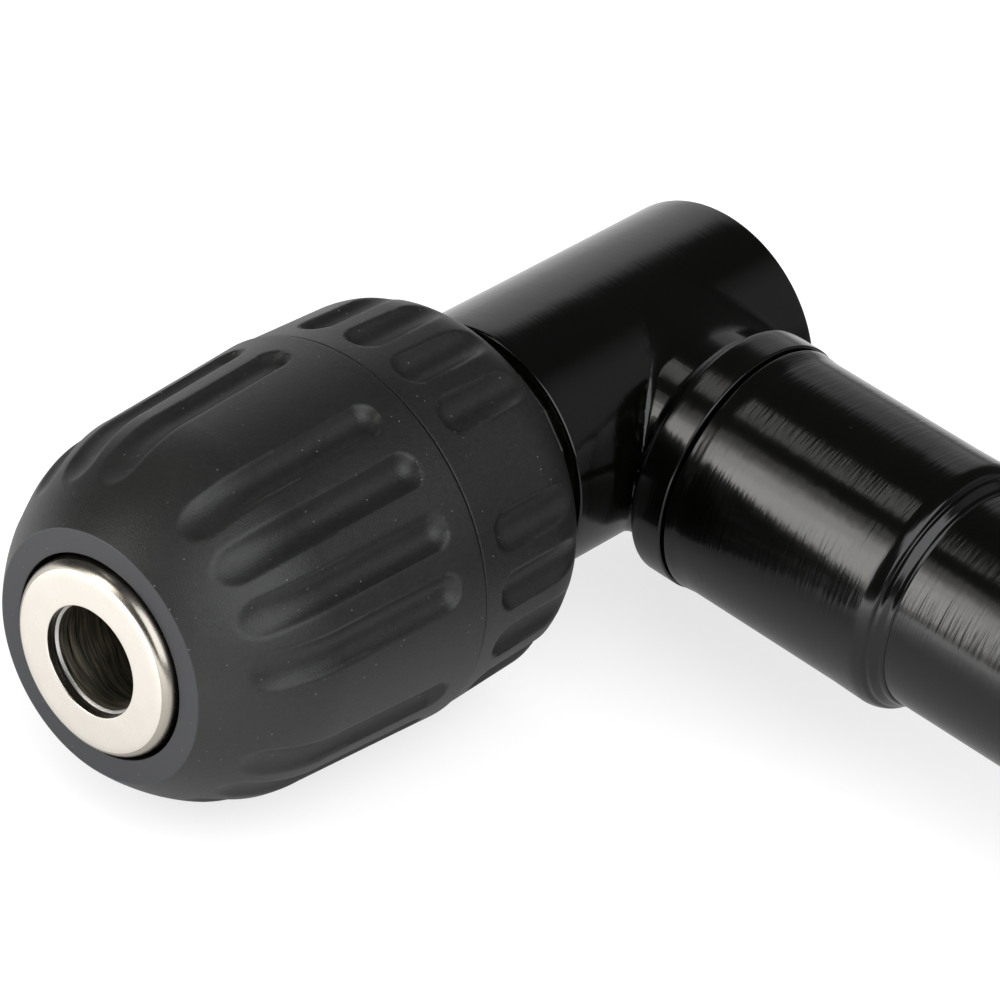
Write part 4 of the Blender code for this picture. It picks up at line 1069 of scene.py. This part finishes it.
def make_camera():
    """The photograph's view, found by fitting the axes, the sleeves and the barrel."""
    lens = bpy.data.cameras.new("camera")
    lens.sensor_width = SENSOR
    lens.lens = FOCAL_PIXELS / PHOTO_WIDTH * SENSOR
    lens.clip_start, lens.clip_end = 0.01, 20.0
    camera = bpy.data.objects.new("camera", lens)
    bpy.context.scene.collection.objects.link(camera)
    back = direction(CAMERA_AZIMUTH, CAMERA_ELEVATION)
    right = (-back).cross(Vector((0, 0, 1))).normalized()
    up = right.cross(-back)
    turned = cos(CAMERA_ROLL) * right + sin(CAMERA_ROLL) * up
    up = cos(CAMERA_ROLL) * up - sin(CAMERA_ROLL) * right
    right = turned
    distance = FOCAL_PIXELS / PIXELS_PER_MM * MM
    shift_right = (CORNER_PIXEL[0] - PHOTO_WIDTH / 2) / FOCAL_PIXELS * distance
    shift_up = (PHOTO_WIDTH / 2 - CORNER_PIXEL[1]) / FOCAL_PIXELS * distance
    spot = CORNER + back * distance - right * shift_right - up * shift_up
    place = Matrix((right, up, back)).transposed().to_4x4()
    place.translation = spot
    camera.matrix_world = place
    bpy.context.scene.camera = camera
    bpy.context.scene.view_settings.view_transform = "Standard"


make_camera()
make_world()
make_floor()
softbox("key", **KEY, size=(0.26, 0.54), radiance=2.3, distance=0.90)
softbox("key_middle", **KEY, size=(0.26, 0.70), radiance=1.5, distance=0.93)
softbox("key_edge", **KEY, size=(0.36, 1.0), radiance=1.1, distance=0.96)
softbox("key_core", azimuth=-29, elevation=19, size=(0.12, 0.36), radiance=1.5, distance=0.87)
softbox("top_strip", azimuth=-78, elevation=60.5, size=(0.30, 0.08), radiance=1.8)
softbox("front_right", azimuth=70, elevation=42, size=(1.0, 1.0), radiance=2.5, tint=COOL)

plastic = moulded_plastic()
barrel_coat = gloss_coat("barrel_coat", 1.0, (2600, 170, 170))
head_coat = gloss_coat("head_coat", 0.5, (170, 2600, 170), (2600, 170, 170))
steel = ground_steel("turned_steel", (0.55, 0.54, 0.52), (2600, 400, 400))

make_front_sleeve(plastic)
make_rear_sleeve(plastic)
make_nose_ring(nickel_plate())
make_chuck_body(bored_steel())
for number, turn in enumerate(JAW_TURNS, 1):
    make_jaw(number, turn, steel)
make_head(head_coat)
make_barrel(barrel_coat)
make_tube(barrel_coat)
make_end_cap(barrel_coat)
make_shaft(steel)
finish_inner_nodes(steel, sintered_bronze(), seal_rubber())
